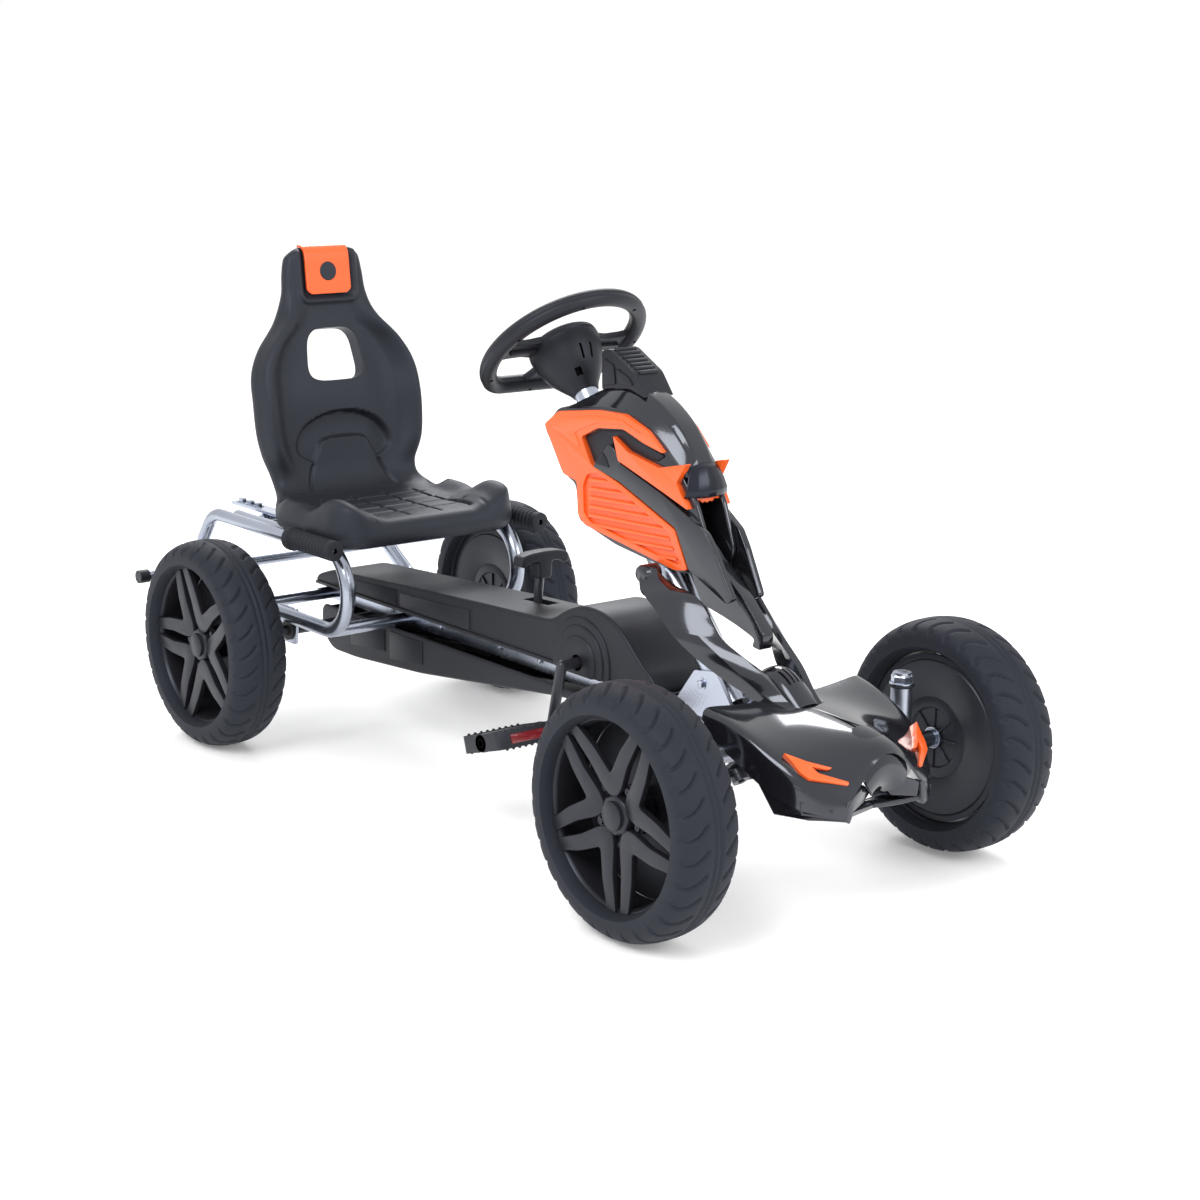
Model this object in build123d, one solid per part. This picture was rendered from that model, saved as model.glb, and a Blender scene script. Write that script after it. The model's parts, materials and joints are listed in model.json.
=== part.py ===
from build123d import *
import os
from math import asin, atan, atan2, cos, hypot, pi, radians, sin

# A child's pedal go kart.  Millimetres, +Z up, the nose points to -Y and +X is the kart's left.
# Z = 0 is the ground and the origin is the middle of the overall box on the ground.

# ---------------------------------------------------------------- driving dimensions
# wheels
wheelbase = 922.8
tyre_radius = 145.0
tyre_width = 82.6
rim_radius = 112.0
front_track = 500.0
rear_track = 504.8
rim_half_width = 31.0
rim_wall = 5.0
wheel_disc_offset = 25.9
wheel_disc_thickness = 4.0
spoke_count = 5
spoke_width = 11.0
spoke_thickness = 12.0
spoke_gap = 15.0
front_spoke_turn = 46.0
hub_radius = 24.0
rear_overhang = 180.6

# axles, pins and the clearances of their fits
rear_axle_radius = 7.5
stub_axle_radius = 6.0
kingpin_radius = 8.0
running_gap = 0.05
side_gap = 0.5
bearing_wall = 6.5
bearing_width = 10.0

# frame tubes
beam_width = 43.0
beam_height = 26.0
beam_wall = 2.0
beam_bottom = 165.0
post_radius = 21.5
post_wall = 2.5
plate_thickness = 5.0
loop_radius = 10.5
cross_tube_radius = 9.0
loop_half_spread = 143.0
loop_bend = 60.0
loop_middle_z = 232.0
rail_radius = 9.0
rail_half_spread = 172.5
rail_z = 298.5
rail_bend = 45.0
grip_radius = 14.5
grip_length = 107.0
rear_bar_radius = 8.0
rear_bar_half_length = 280.0
rear_bar_z = 212.0
cap_wall = 1.5
cap_length = 14.0

# steering
column_tilt = 41.0
column_foot_z = 202.0
column_length = 516.0
column_radius = 9.5
collar_radius = 15.5
collar_length = 22.0
ring_radius = 103.0
ring_section = 11.5
ring_flat = 80.0
bell_top_radius = 47.0
bell_foot_radius = 17.0
bell_length = 72.0
kingpin_spread = 165.0
sleeve_radius = 13.0
sleeve_bottom = 168.0
sleeve_top = 222.0
kingpin_top = 237.0
knuckle_arm = 57.0
pitman_reach = 50.0
pitman_thickness = 5.0
pitman_depth = 66.0
stud_radius = 4.0
stud_travel = 6.5
slot_side_gap = 0.7
slot_run = 4.0
tie_rod_radius = 5.0
tie_rod_eye_height = 8.0

# drive
crank_height = 207.0
crank_setback = 351.4
crank_rod_radius = 7.0
crank_throw = 89.0
crank_angle = 13.0
crank_arm_x = 78.0
pedal_inner_x = 90.0
pedal_length = 98.0
pedal_width = 82.0
pedal_height = 24.0
pedal_tilt = 17.0
pedal_rod_radius = 5.0
chain_x = 33.0
chain_width = 7.0
chain_height = 8.0
chain_pitch = 12.7
front_teeth = 20
rear_teeth = 12
tooth_gap = 0.6
sprocket_thickness = 3.0

# chain covers
cover_half_width = 46.0
cover_wall = 2.5
cover_gap = 0.5
hump_room = 29.4
guard_room = 17.0
guard_slope_room = 20.0

# hand brake
lever_setback = 535.0
lever_x = 19.0
lever_pivot_z = 206.0
lever_top_z = 303.0
lever_radius = 6.0
handle_length = 80.0

# seat
seat_half_width = 155.0
seat_floor_z = 306.5
seat_top_z = 350.0
seat_lip_z = 285.0
headrest_top_z = 684.0
seat_bar_width = 24.0
seat_bar_thickness = 4.0
seat_bar_x = 112.0
slide_gap = 0.4

# fairing and nose
fairing_half_width = 42.0
fairing_taper = 25.0 / 240.0
hood_half_width = 28.0
side_plate_thickness = 7.0
panel_thickness = 6.0
leg_half_width = 31.0
leg_taper = 16.0 / 250.0
leg_thickness = 13.0
post_room = 1.0

# ---------------------------------------------------------------- places worked out from them
overall_length = tyre_radius + wheelbase + rear_overhang
front_axle_y = tyre_radius - overall_length / 2
rear_axle_y = front_axle_y + wheelbase
axle_z = tyre_radius
crank_y = front_axle_y + crank_setback
lever_y = front_axle_y + lever_setback
tilt = radians(column_tilt)
column_axis = Vector(0, sin(tilt), cos(tilt))
column_foot = Vector(0, front_axle_y + 115.4, column_foot_z)
beam_top = beam_bottom + beam_height
beam_middle = (beam_top + beam_bottom) / 2
cover_bottom = beam_top + cover_gap
guard_top = beam_bottom - cover_gap
front_sprocket_radius = chain_pitch / (2 * sin(pi / front_teeth))
rear_sprocket_radius = chain_pitch / (2 * sin(pi / rear_teeth))
rear_edge_y = rear_axle_y + rear_overhang
rear_bar_y = rear_edge_y - rail_radius - 6
crank_turn = radians(crank_angle)
SIDES = {"left": 1, "right": -1}


# ---------------------------------------------------------------- shared shapes
def front(distance):
    """Y of a point this far behind the front axle."""
    return front_axle_y + distance


def rear(distance):
    """Y of a point this far behind the rear axle."""
    return rear_axle_y + distance


def rod_x(radius, x0, x1, y, z):
    """Round bar along X."""
    plane = Plane(origin=(min(x0, x1), y, z), x_dir=(0, 1, 0), z_dir=(1, 0, 0))
    return plane * Cylinder(radius, abs(x1 - x0), align=(Align.CENTER, Align.CENTER, Align.MIN))


def rod_between(radius, start, end):
    """Round bar from one point to another."""
    start = Vector(*start)
    end = Vector(*end)
    plane = Plane(origin=start, z_dir=(end - start).normalized())
    return plane * Cylinder(radius, (end - start).length, align=(Align.CENTER, Align.CENTER, Align.MIN))


def upright(radius, x, y, z0, z1):
    """Round bar along Z."""
    return Pos(x, y, z0) * Cylinder(radius, z1 - z0, align=(Align.CENTER, Align.CENTER, Align.MIN))


def box_from(x0, x1, y0, y1, z0, z1):
    """Box between two corners."""
    return Pos((x0 + x1) / 2, (y0 + y1) / 2, (z0 + z1) / 2) * Box(x1 - x0, y1 - y0, z1 - z0)


def side_plate(outline, x0, x1, corner=0.0):
    """Plate with an outline of (y, z) points, between two X planes."""
    plane = Plane(origin=(x0, 0, 0), x_dir=(0, 1, 0), z_dir=(1, 0, 0))
    face = make_face(Polyline(*outline, close=True))
    if corner > 0:
        face = fillet(face.vertices(), corner)
    return extrude(plane * face, x1 - x0)


def slanted_plate(outline, half_width, taper, thickness, origin_y, raised=0.0):
    """Upright plate on the left that leans in towards the nose: half_width is its inner face at origin_y,
    raised lifts it off that face."""
    lean = atan(taper)
    plane = Plane(origin=(half_width, origin_y, 0), x_dir=(sin(lean), cos(lean), 0),
                  z_dir=(cos(lean), -sin(lean), 0))
    points = [((y - origin_y) / cos(lean), z) for y, z in outline]
    return extrude(plane.offset(raised) * make_face(Polyline(*points, close=True)), thickness)


def tube_along(points, bends, radius):
    """Round tube along straight runs joined by tangent arcs."""
    path = FilletPolyline(*points, radius=bends)
    return sweep(Plane(origin=path @ 0, z_dir=path % 0) * Circle(radius), path=path)


def mirrored(shape):
    return mirror(shape, Plane.YZ)


def on_side(shape, sign):
    """A shape modelled on the left, given for either side."""
    return shape if sign > 0 else mirrored(shape)


# ---------------------------------------------------------------- wheels
def tyre(track, y):
    """Balloon tyre of foam rubber on the left side: a barrel section turned about the axle."""
    half = tyre_width / 2
    shoulder = tyre_radius - 5.5
    waist = (shoulder + rim_radius) / 2 + 2
    foot = half - 7
    edge = half - 8
    section = Line((-foot, rim_radius), (foot, rim_radius))
    section += ThreePointArc((foot, rim_radius), (half, waist), (edge, shoulder))
    section += ThreePointArc((edge, shoulder), (0, tyre_radius), (-edge, shoulder))
    section += ThreePointArc((-edge, shoulder), (-half, waist), (-foot, rim_radius))
    plane = Plane(origin=(track / 2, y, axle_z), x_dir=(1, 0, 0), z_dir=(0, -1, 0))
    return revolve(plane * make_face(section), Axis((track / 2, y, axle_z), (1, 0, 0)))


def rim(track, y, bore_radius, first_spoke):
    """Moulded wheel on the left side: barrel, back disc, hub and five twin spokes."""
    outer = rim_half_width
    barrel = Cylinder(rim_radius, 2 * outer) - Cylinder(rim_radius - rim_wall, 2 * outer)
    lip = Pos(0, 0, outer - 2) * (Cylinder(rim_radius, 4) - Cylinder(rim_radius - rim_wall - 4, 4))
    disc_z = -wheel_disc_offset + wheel_disc_thickness / 2
    disc = Pos(0, 0, disc_z) * Cylinder(rim_radius - 1, wheel_disc_thickness)
    hub_low = -wheel_disc_offset - 2
    hub = Pos(0, 0, (hub_low + 26) / 2) * Cylinder(hub_radius, 26 - hub_low)
    spoke = None
    for number in range(spoke_count):
        turn = first_spoke + number * 360 / spoke_count
        for side in (-1, 1):
            reach = rim_radius - rim_wall + 1
            bar = Box(reach, spoke_width, spoke_thickness)
            bar = Pos(reach / 2, side * (spoke_gap + spoke_width) / 2, 16) * bar
            bar = Rot(0, 0, turn) * bar
            spoke = bar if spoke is None else spoke + bar
    solid = barrel + lip + disc + hub + spoke
    solid -= Cylinder(bore_radius, 200)
    plane = Plane(origin=(track / 2, y, axle_z), x_dir=(0, 1, 0), z_dir=(1, 0, 0))
    return plane * solid


# ---------------------------------------------------------------- frame
def main_beam():
    start = front(162)
    end = rear(62)
    outer = box_from(-beam_width / 2, beam_width / 2, start, end, beam_bottom, beam_top)
    inner = box_from(-beam_width / 2 + beam_wall, beam_width / 2 - beam_wall, start, end,
                     beam_bottom + beam_wall, beam_top - beam_wall)
    return outer - inner


def column_plane(distance):
    """Plane across the steering axis, this far above the foot of the post."""
    return Plane(origin=column_foot + column_axis * distance, x_dir=(1, 0, 0), z_dir=tuple(column_axis))


def column_cylinder(radius, low, high):
    return column_plane(low) * Cylinder(radius, high - low, align=(Align.CENTER, Align.CENTER, Align.MIN))


post_low = -6.0
post_high = column_length - bell_length - collar_length - 14


def steering_post():
    tube = column_cylinder(post_radius, post_low, post_high)
    return tube - column_cylinder(post_radius - post_wall, post_low, post_high)


def post_side_plates():
    """Two plates that carry the post and run on to the front cross member."""
    inner = beam_width / 2
    outline = [(front(232), beam_bottom + 2), (front(232), beam_top), (front(192), beam_top),
               (front(158), beam_top + 44), (front(120), beam_top + 50), (front(88), beam_top + 10),
               (front(30), beam_top), (front(11), beam_top), (front(11), beam_bottom + 6),
               (front(60), beam_bottom + 2)]
    plate = side_plate(outline, inner, inner + plate_thickness, corner=3)
    return Compound(children=[plate, mirrored(plate)])


def front_cross_member():
    """Cross tube with a kingpin sleeve welded at each end."""
    z = (sleeve_bottom + sleeve_top) / 2 - 8
    tube = rod_x(11, -kingpin_spread, kingpin_spread, front_axle_y, z)
    tube -= rod_x(9, -kingpin_spread, kingpin_spread, front_axle_y, z)
    for side in (-1, 1):
        tube += upright(sleeve_radius, side * kingpin_spread, front_axle_y, sleeve_bottom, sleeve_top)
    for side in (-1, 1):
        tube -= upright(kingpin_radius + running_gap, side * kingpin_spread, front_axle_y, sleeve_bottom - 1,
                        sleeve_top + 1)
    return tube


def seat_loop():
    """Left tube under the seat: along the top, round the front and back along the bottom."""
    top = loop_middle_z + loop_bend
    low = loop_middle_z - loop_bend
    nose = rear(-178)
    points = [(loop_half_spread, rear(118), top), (loop_half_spread, nose, top),
              (loop_half_spread, nose, low), (loop_half_spread, rear(100), low),
              (loop_half_spread, rear_bar_y, rear_bar_z)]
    tube = tube_along(points, [loop_bend - 0.5, loop_bend - 0.5, 30], loop_radius)
    return tube - rear_bar()


def grip_rail():
    """Left hand rail: from the grip back past the seat and down to the rear bar."""
    points = [(rail_half_spread, rear(-189), rail_z), (rail_half_spread, rear(136), rail_z),
              (rail_half_spread, rear_edge_y - rail_radius, 252), (rail_half_spread, rear_bar_y, rear_bar_z)]
    return tube_along(points, [rail_bend, 20], rail_radius) - rear_bar()


def hand_grip():
    """Ribbed rubber grip pushed over the front end of the rail."""
    start = rear(-193)
    plane = Plane(origin=(rail_half_spread, start, rail_z), x_dir=(1, 0, 0), z_dir=(0, 1, 0))
    sleeve = plane * Cylinder(grip_radius, grip_length, align=(Align.CENTER, Align.CENTER, Align.MIN))
    flange_start = (rail_half_spread, start + grip_length, rail_z)
    flange_plane = Plane(origin=flange_start, x_dir=(1, 0, 0), z_dir=(0, 1, 0))
    sleeve += flange_plane * Cylinder(grip_radius + 2.5, 5, align=(Align.CENTER, Align.CENTER, Align.MIN))
    bore = Cylinder(rail_radius, grip_length + 20, align=(Align.CENTER, Align.CENTER, Align.MIN))
    return sleeve - plane * bore


def cross_tubes():
    """Lateral tubes: two from the beam to the loops, two that carry the seat."""
    solids = []
    loop = seat_loop()
    for y, z in ((rear(-140), beam_bottom + cross_tube_radius), (rear(44), beam_middle + 1)):
        tube = rod_x(cross_tube_radius, beam_width / 2, loop_half_spread, y, z) - loop
        solids += [tube, mirrored(tube)]
    for y in (rear(-100), rear(80)):
        tube = rod_x(cross_tube_radius, -loop_half_spread, loop_half_spread, y, loop_middle_z + loop_bend)
        solids.append(tube - loop - mirrored(loop))
    return Compound(children=solids)


def rear_bar():
    return rod_x(rear_bar_radius, -rear_bar_half_length, rear_bar_half_length, rear_bar_y, rear_bar_z)


def rear_bar_caps():
    solids = []
    for side in (-1, 1):
        outer = rod_x(rear_bar_radius + cap_wall, side * (rear_bar_half_length - cap_length),
                      side * (rear_bar_half_length + cap_wall), rear_bar_y, rear_bar_z)
        inner = rod_x(rear_bar_radius, side * (rear_bar_half_length - cap_length - 1),
                      side * rear_bar_half_length, rear_bar_y, rear_bar_z)
        solids.append(outer - inner)
    return Compound(children=solids)


bracket_x = loop_half_spread - loop_radius - 4


def axle_brackets():
    """Hanging plates welded inside the loops that hold the rear axle bearings."""
    solids = []
    bearing_outer = rear_axle_radius + running_gap + bearing_wall
    for side in (-1, 1):
        low = loop_middle_z - loop_bend
        outline = [(rear(-24), low + 8), (rear(24), low + 8),
                   (rear(20), axle_z - 18), (rear(-20), axle_z - 18)]
        edges = sorted((side * bracket_x, side * (bracket_x + 4)))
        plate = side_plate(outline, edges[0], edges[1], corner=5)
        solids.append(plate - rod_x(bearing_outer, side * 90, side * 180, rear_axle_y, axle_z))
    return Compound(children=solids)


crank_bearing_x = 12.0


def bearings():
    """Plain bushes: two on the rear axle, two on the crank and two in the steering post."""
    solids = []
    for side in (-1, 1):
        centre = side * (bracket_x + 2)
        outer = rod_x(rear_axle_radius + running_gap + bearing_wall, centre - bearing_width / 2,
                      centre + bearing_width / 2, rear_axle_y, axle_z)
        inner = rod_x(rear_axle_radius + running_gap, centre - bearing_width, centre + bearing_width,
                      rear_axle_y, axle_z)
        solids.append(outer - inner)
    for side in (-1, 1):
        centre = side * crank_bearing_x
        radius = crank_rod_radius + running_gap
        body = rod_x(radius + bearing_wall, centre - 6, centre + 6, crank_y, crank_height)
        body += box_from(centre - 6, centre + 6, crank_y - radius - 9, crank_y + radius + 9,
                         beam_top, beam_top + 5)
        body += box_from(centre - 6, centre + 6, crank_y - 9, crank_y + 9, beam_top, crank_height)
        solids.append(body - rod_x(radius, centre - 10, centre + 10, crank_y, crank_height))
    for low in (post_low + 2, post_high - 16):
        ring = column_cylinder(post_radius - post_wall, low, low + 14)
        solids.append(ring - column_cylinder(column_radius + running_gap, low - 1, low + 15))
    return Compound(children=solids)


# ---------------------------------------------------------------- drive
def toothed_wheel(radius, teeth, bore):
    """Flat chain wheel in the XY plane."""
    tip = radius - chain_height / 2
    body = Cylinder(tip - tooth_gap, sprocket_thickness)
    tooth = None
    for number in range(teeth):
        peg = Rot(0, 0, number * 360 / teeth) * (Pos(tip - 2, 0, 0) * Box(5, chain_pitch * 0.35,
                                                                       sprocket_thickness))
        tooth = peg if tooth is None else tooth + peg
    body = body + tooth
    body = body & Cylinder(tip - tooth_gap + 0.2, sprocket_thickness * 2)
    return body - Cylinder(bore, sprocket_thickness * 3)


def wheel_plane(x, y, z):
    return Plane(origin=(x, y, z), x_dir=(0, 1, 0), z_dir=(1, 0, 0))


def rear_sprocket():
    disc = toothed_wheel(rear_sprocket_radius, rear_teeth, rear_axle_radius)
    hub = Cylinder(14, 14) - Cylinder(rear_axle_radius, 20)
    return wheel_plane(chain_x, rear_axle_y, axle_z) * (disc + hub)


def chainring():
    disc = toothed_wheel(front_sprocket_radius, front_teeth, crank_rod_radius)
    for number in range(5):
        disc -= Rot(0, 0, number * 72) * (Pos(front_sprocket_radius * 0.55, 0, 0) * Cylinder(9, 10))
    hub = Cylinder(13, 12) - Cylinder(crank_rod_radius, 20)
    return wheel_plane(chain_x, crank_y, crank_height) * (disc + hub)


def chain_outline(growth):
    """Closed outline round both chain wheels, this much outside the pitch line."""
    dy = rear_axle_y - crank_y
    dz = axle_z - crank_height
    span = hypot(dy, dz)
    big = front_sprocket_radius + growth
    small = rear_sprocket_radius + growth
    lean = atan2(dz, dy)
    spread = asin((big - small) / span)
    points = {}
    for name, sign in (("top", 1), ("low", -1)):
        angle = lean + sign * (pi / 2 - spread)
        points[name] = ((crank_y + big * cos(angle), crank_height + big * sin(angle)),
                        (rear_axle_y + small * cos(angle), axle_z + small * sin(angle)))
    front_tip = (crank_y - big * cos(lean), crank_height - big * sin(lean))
    rear_tip = (rear_axle_y + small * cos(lean), axle_z + small * sin(lean))
    outline = Line(points["top"][0], points["top"][1])
    outline += ThreePointArc(points["top"][1], rear_tip, points["low"][1])
    outline += Line(points["low"][1], points["low"][0])
    outline += ThreePointArc(points["low"][0], front_tip, points["top"][0])
    return make_face(outline)


def chain():
    """The roller chain as one closed band."""
    plane = wheel_plane(chain_x - chain_width / 2, 0, 0)
    outer = extrude(plane * chain_outline(chain_height / 2), chain_width)
    inner = extrude(plane * chain_outline(-chain_height / 2), chain_width)
    return outer - inner


def crank_point(side, reach):
    """Middle of the arm end on one side: the right arm hangs down and back, the left stands opposite."""
    sign = 1 if side == "right" else -1
    return (crank_y + sign * reach * sin(crank_turn), crank_height - sign * reach * cos(crank_turn))


def crank():
    """One bent steel rod: spindle end, arm, middle, arm and spindle end."""
    solid = rod_x(crank_rod_radius, -crank_arm_x, crank_arm_x, crank_y, crank_height)
    for name, sign in SIDES.items():
        y, z = crank_point(name, crank_throw)
        x = sign * crank_arm_x
        solid += rod_between(crank_rod_radius, (x, crank_y, crank_height), (x, y, z))
        for centre in ((x, crank_y, crank_height), (x, y, z)):
            solid += Pos(*centre) * Sphere(crank_rod_radius)
        solid += rod_x(pedal_rod_radius, x, sign * (pedal_inner_x + pedal_length), y, z)
    return solid


def pedal(side):
    """Moulded cage with a bore for the spindle."""
    sign = SIDES[side]
    y, z = crank_point(side, crank_throw)
    frame_box = Box(pedal_length, pedal_width, pedal_height)
    frame_box = fillet(frame_box.edges().filter_by(Axis.Z), 8)
    window = Box(pedal_length - 24, (pedal_width - 46) / 2, pedal_height + 2)
    for place in (-1, 1):
        frame_box -= Pos(0, place * (11.5 + (pedal_width - 46) / 4 + 1), 0) * window
    body = Rot(-pedal_tilt, 0, 0) * frame_box
    bore = Cylinder(pedal_rod_radius + running_gap, pedal_length + 2)
    body -= Rot(0, 90, 0) * bore
    return Pos(sign * (pedal_inner_x + pedal_length / 2), y, z) * body


# ---------------------------------------------------------------- chain covers
def upper_cover():
    """Deep trough over the chain, open below, with a hump over the chainring."""
    hump = front_sprocket_radius + chain_height / 2 + hump_room
    hump_top = crank_height + hump
    outline = [(front(202), cover_bottom), (rear(64), cover_bottom), (rear(64), 204), (rear(20), 219),
               (lever_y + 20, 242), (lever_y - 110, 248), (crank_y + 40, 262), (crank_y + 2, hump_top),
               (crank_y - 40, hump_top), (front(252), 255), (front(212), 214)]
    room_top = hump_top - cover_wall
    inner_outline = [(front(202) + cover_wall * 3, cover_bottom - 5),
                     (rear(64) - cover_wall, cover_bottom - 5), (rear(64) - cover_wall, 202),
                     (rear(20), 216.5), (lever_y + 20, 239.5), (lever_y - 110, 245.5),
                     (crank_y + 40, 259.5), (crank_y + 2, room_top), (crank_y - 40, room_top),
                     (front(252) + 2, 253), (front(215), 213)]
    half = cover_half_width
    shell = side_plate(outline, -half, half)
    shell -= side_plate(inner_outline, -half + cover_wall, half - cover_wall)
    hole = crank_rod_radius + 3
    shell -= rod_x(hole, -80, 80, crank_y, crank_height)
    shell -= box_from(-80, 80, crank_y - hole, crank_y + hole, cover_bottom - 10, crank_height)
    slot_half = lever_radius + 4
    slot = box_from(lever_x - slot_half, lever_x + slot_half, lever_y - 40, lever_y + 16, 225, 260)
    return shell - slot


def lower_guard():
    """Trough under the chain, open above."""
    low_rear = axle_z - rear_sprocket_radius - chain_height / 2 - guard_room
    low_front = crank_height - front_sprocket_radius - chain_height / 2 - guard_slope_room
    front_end = crank_y - front_sprocket_radius - chain_height / 2 - 10
    wall = cover_wall
    outline = [(front_end, guard_top), (rear(50), guard_top), (rear(50), low_rear + 24),
               (rear(24), low_rear), (rear(-40), low_rear), (rear(-205), low_rear + 12),
               (crank_y + 44, low_front), (front_end, low_front + 3)]
    inner_outline = [(front_end + wall, guard_top + 5), (rear(50) - wall, guard_top + 5),
                     (rear(50) - wall, low_rear + 25), (rear(24) - 1, low_rear + wall),
                     (rear(-40), low_rear + wall),
                     (rear(-205), low_rear + 12 + wall), (crank_y + 44, low_front + wall),
                     (front_end + wall, low_front + 3 + wall)]
    half = cover_half_width
    shell = side_plate(outline, -half, half)
    shell -= side_plate(inner_outline, -half + wall, half - wall)
    shell -= rod_x(rear_axle_radius + 3, -80, 80, rear_axle_y, axle_z)
    return shell


# ---------------------------------------------------------------- hand brake
def brake_lever():
    """Upright lever beside the beam, turning on a pin."""
    z0 = lever_pivot_z
    stem = rod_between(lever_radius, (lever_x, lever_y, z0), (lever_x, lever_y - 12, lever_top_z))
    boss = rod_x(9, lever_x - 4, lever_x + 4, lever_y, z0)
    return stem + boss - rod_x(3.05, lever_x - 10, lever_x + 10, lever_y, z0)


def brake_handle():
    """T handle moulded on the lever's top."""
    low = lever_top_z - 26
    sleeve = rod_between(11, (lever_x, lever_y - 8.7, low), (lever_x, lever_y - 12, lever_top_z))
    bar = rod_x(10, lever_x - handle_length / 2, lever_x + handle_length / 2, lever_y - 12, lever_top_z + 2)
    return sleeve + bar - rod_between(lever_radius, (lever_x, lever_y, lever_pivot_z),
                                      (lever_x, lever_y - 12, lever_top_z))


def brake_pin():
    """Pin and ear that hold the lever on the beam."""
    pin = rod_x(3.0, 8, lever_x + 8, lever_y, lever_pivot_z)
    ear = box_from(6, 12, lever_y - 10, lever_y + 10, beam_top, lever_pivot_z + 8)
    return pin + ear


# ---------------------------------------------------------------- steering
def steering_wheel():
    """D shaped ring with three spokes to a hub disc."""
    beyond_flat = Pos(0, ring_radius + ring_flat) * Rectangle(3 * ring_radius, 2 * ring_radius)
    outline = Circle(ring_radius) - beyond_flat
    outline = fillet(outline.vertices(), 30)
    path = outline.face().outer_wire()
    section = Plane(origin=path @ 0, z_dir=path % 0) * Circle(ring_section)
    ring = sweep(section, path=path)
    hub = Pos(0, 0, 4) * Cylinder(bell_top_radius - 4, 12)
    for angle, reach in ((0, ring_radius), (180, ring_radius), (90, ring_flat)):
        bar = Pos((reach + 30) / 2, 0, 3) * Box(reach - 30, 30, 11)
        hub += Rot(0, 0, angle) * bar
    return column_plane(column_length) * (ring + hub)


def steering_hub_cover():
    """Bell under the wheel, hollow round the column."""
    low = -bell_length
    section = Polyline((bell_foot_radius, low), (30, low + 10), (42, low + 32), (bell_top_radius, -3),
                       (bell_top_radius - 3, -3), (39, low + 32), (27, low + 12),
                       (column_radius + 4, low + 2.5), (column_radius + 4, low), close=True)
    bell = revolve(Plane.XZ * make_face(section), Axis.Z)
    return column_plane(column_length) * bell


def steering_column():
    """Shaft from the pitman plate to the wheel."""
    return column_cylinder(column_radius, -pitman_depth, column_length - 2.5)


def column_collar():
    low = column_length - bell_length - collar_length
    ring = column_cylinder(collar_radius, low, low + collar_length)
    return ring - column_cylinder(column_radius, low - 1, low + collar_length + 1)


def pitman_plate():
    """Arm at the foot of the column with a slot for the tie rod stud."""
    length = pitman_reach + slot_run + stud_radius + 8
    plate = Pos(0, length / 2 - 8, 0) * Box(30, length + 16, pitman_thickness)
    plate = fillet(plate.edges().filter_by(Axis.Z), 10)
    plate += Pos(0, 0, 8) * Cylinder(15, 12)
    slot_low = pitman_reach - stud_radius - slot_side_gap
    slot_high = pitman_reach + slot_run + stud_radius
    slot = Box(2 * (stud_radius + slot_side_gap), slot_high - slot_low, 30)
    plate -= Pos(0, (slot_low + slot_high) / 2, 0) * slot
    plate -= Cylinder(column_radius, 60)
    return column_plane(-pitman_depth + pitman_thickness / 2) * plate


def kingpin_parts(side):
    """Knuckle: kingpin, stub axle and steering arm, with its cap nut."""
    x = kingpin_spread
    pin = upright(kingpin_radius, x, front_axle_y, axle_z, sleeve_top + 9)
    block = box_from(x - 15, x + 15, front_axle_y - 15, front_axle_y + 15,
                     axle_z - 14, sleeve_bottom - side_gap)
    block = fillet(block.edges().filter_by(Axis.Z), 6)
    stub = rod_x(stub_axle_radius, x, front_track / 2 + 24, front_axle_y, axle_z)
    shoulder = rod_x(10, x, front_track / 2 - wheel_disc_offset - 2 - side_gap, front_axle_y, axle_z)
    arm = box_from(x - 9, x + 9, front_axle_y, front_axle_y + knuckle_arm + 9, arm_z - 3, arm_z + 3)
    arm = fillet(arm.edges().filter_by(Axis.Z).sort_by(Axis.Y)[-2:], 8)
    web = box_from(x - 9, x + 9, front_axle_y - 9, front_axle_y + 9, arm_z - 3, axle_z)
    arm = arm + web
    arm -= upright(stud_radius + running_gap, x, front_axle_y + knuckle_arm, arm_z - 10, arm_z + 10)
    solid = pin + block + stub + shoulder + arm
    nut = upright(11, x, front_axle_y, sleeve_top + side_gap, kingpin_top)
    nut -= upright(kingpin_radius, x, front_axle_y, sleeve_top - 5, sleeve_top + 9)
    return Compound(children=[on_side(solid, SIDES[side]), on_side(nut, SIDES[side])])


stud_foot = column_foot - column_axis * (pitman_depth - pitman_thickness / 2)
reach_axis = Vector(0, cos(tilt), -sin(tilt))
stud_centre = stud_foot + reach_axis * pitman_reach
rod_foot = stud_centre - column_axis * (pitman_thickness / 2 + 1.0 + tie_rod_eye_height / 2)
arm_z = 122.0


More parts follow.
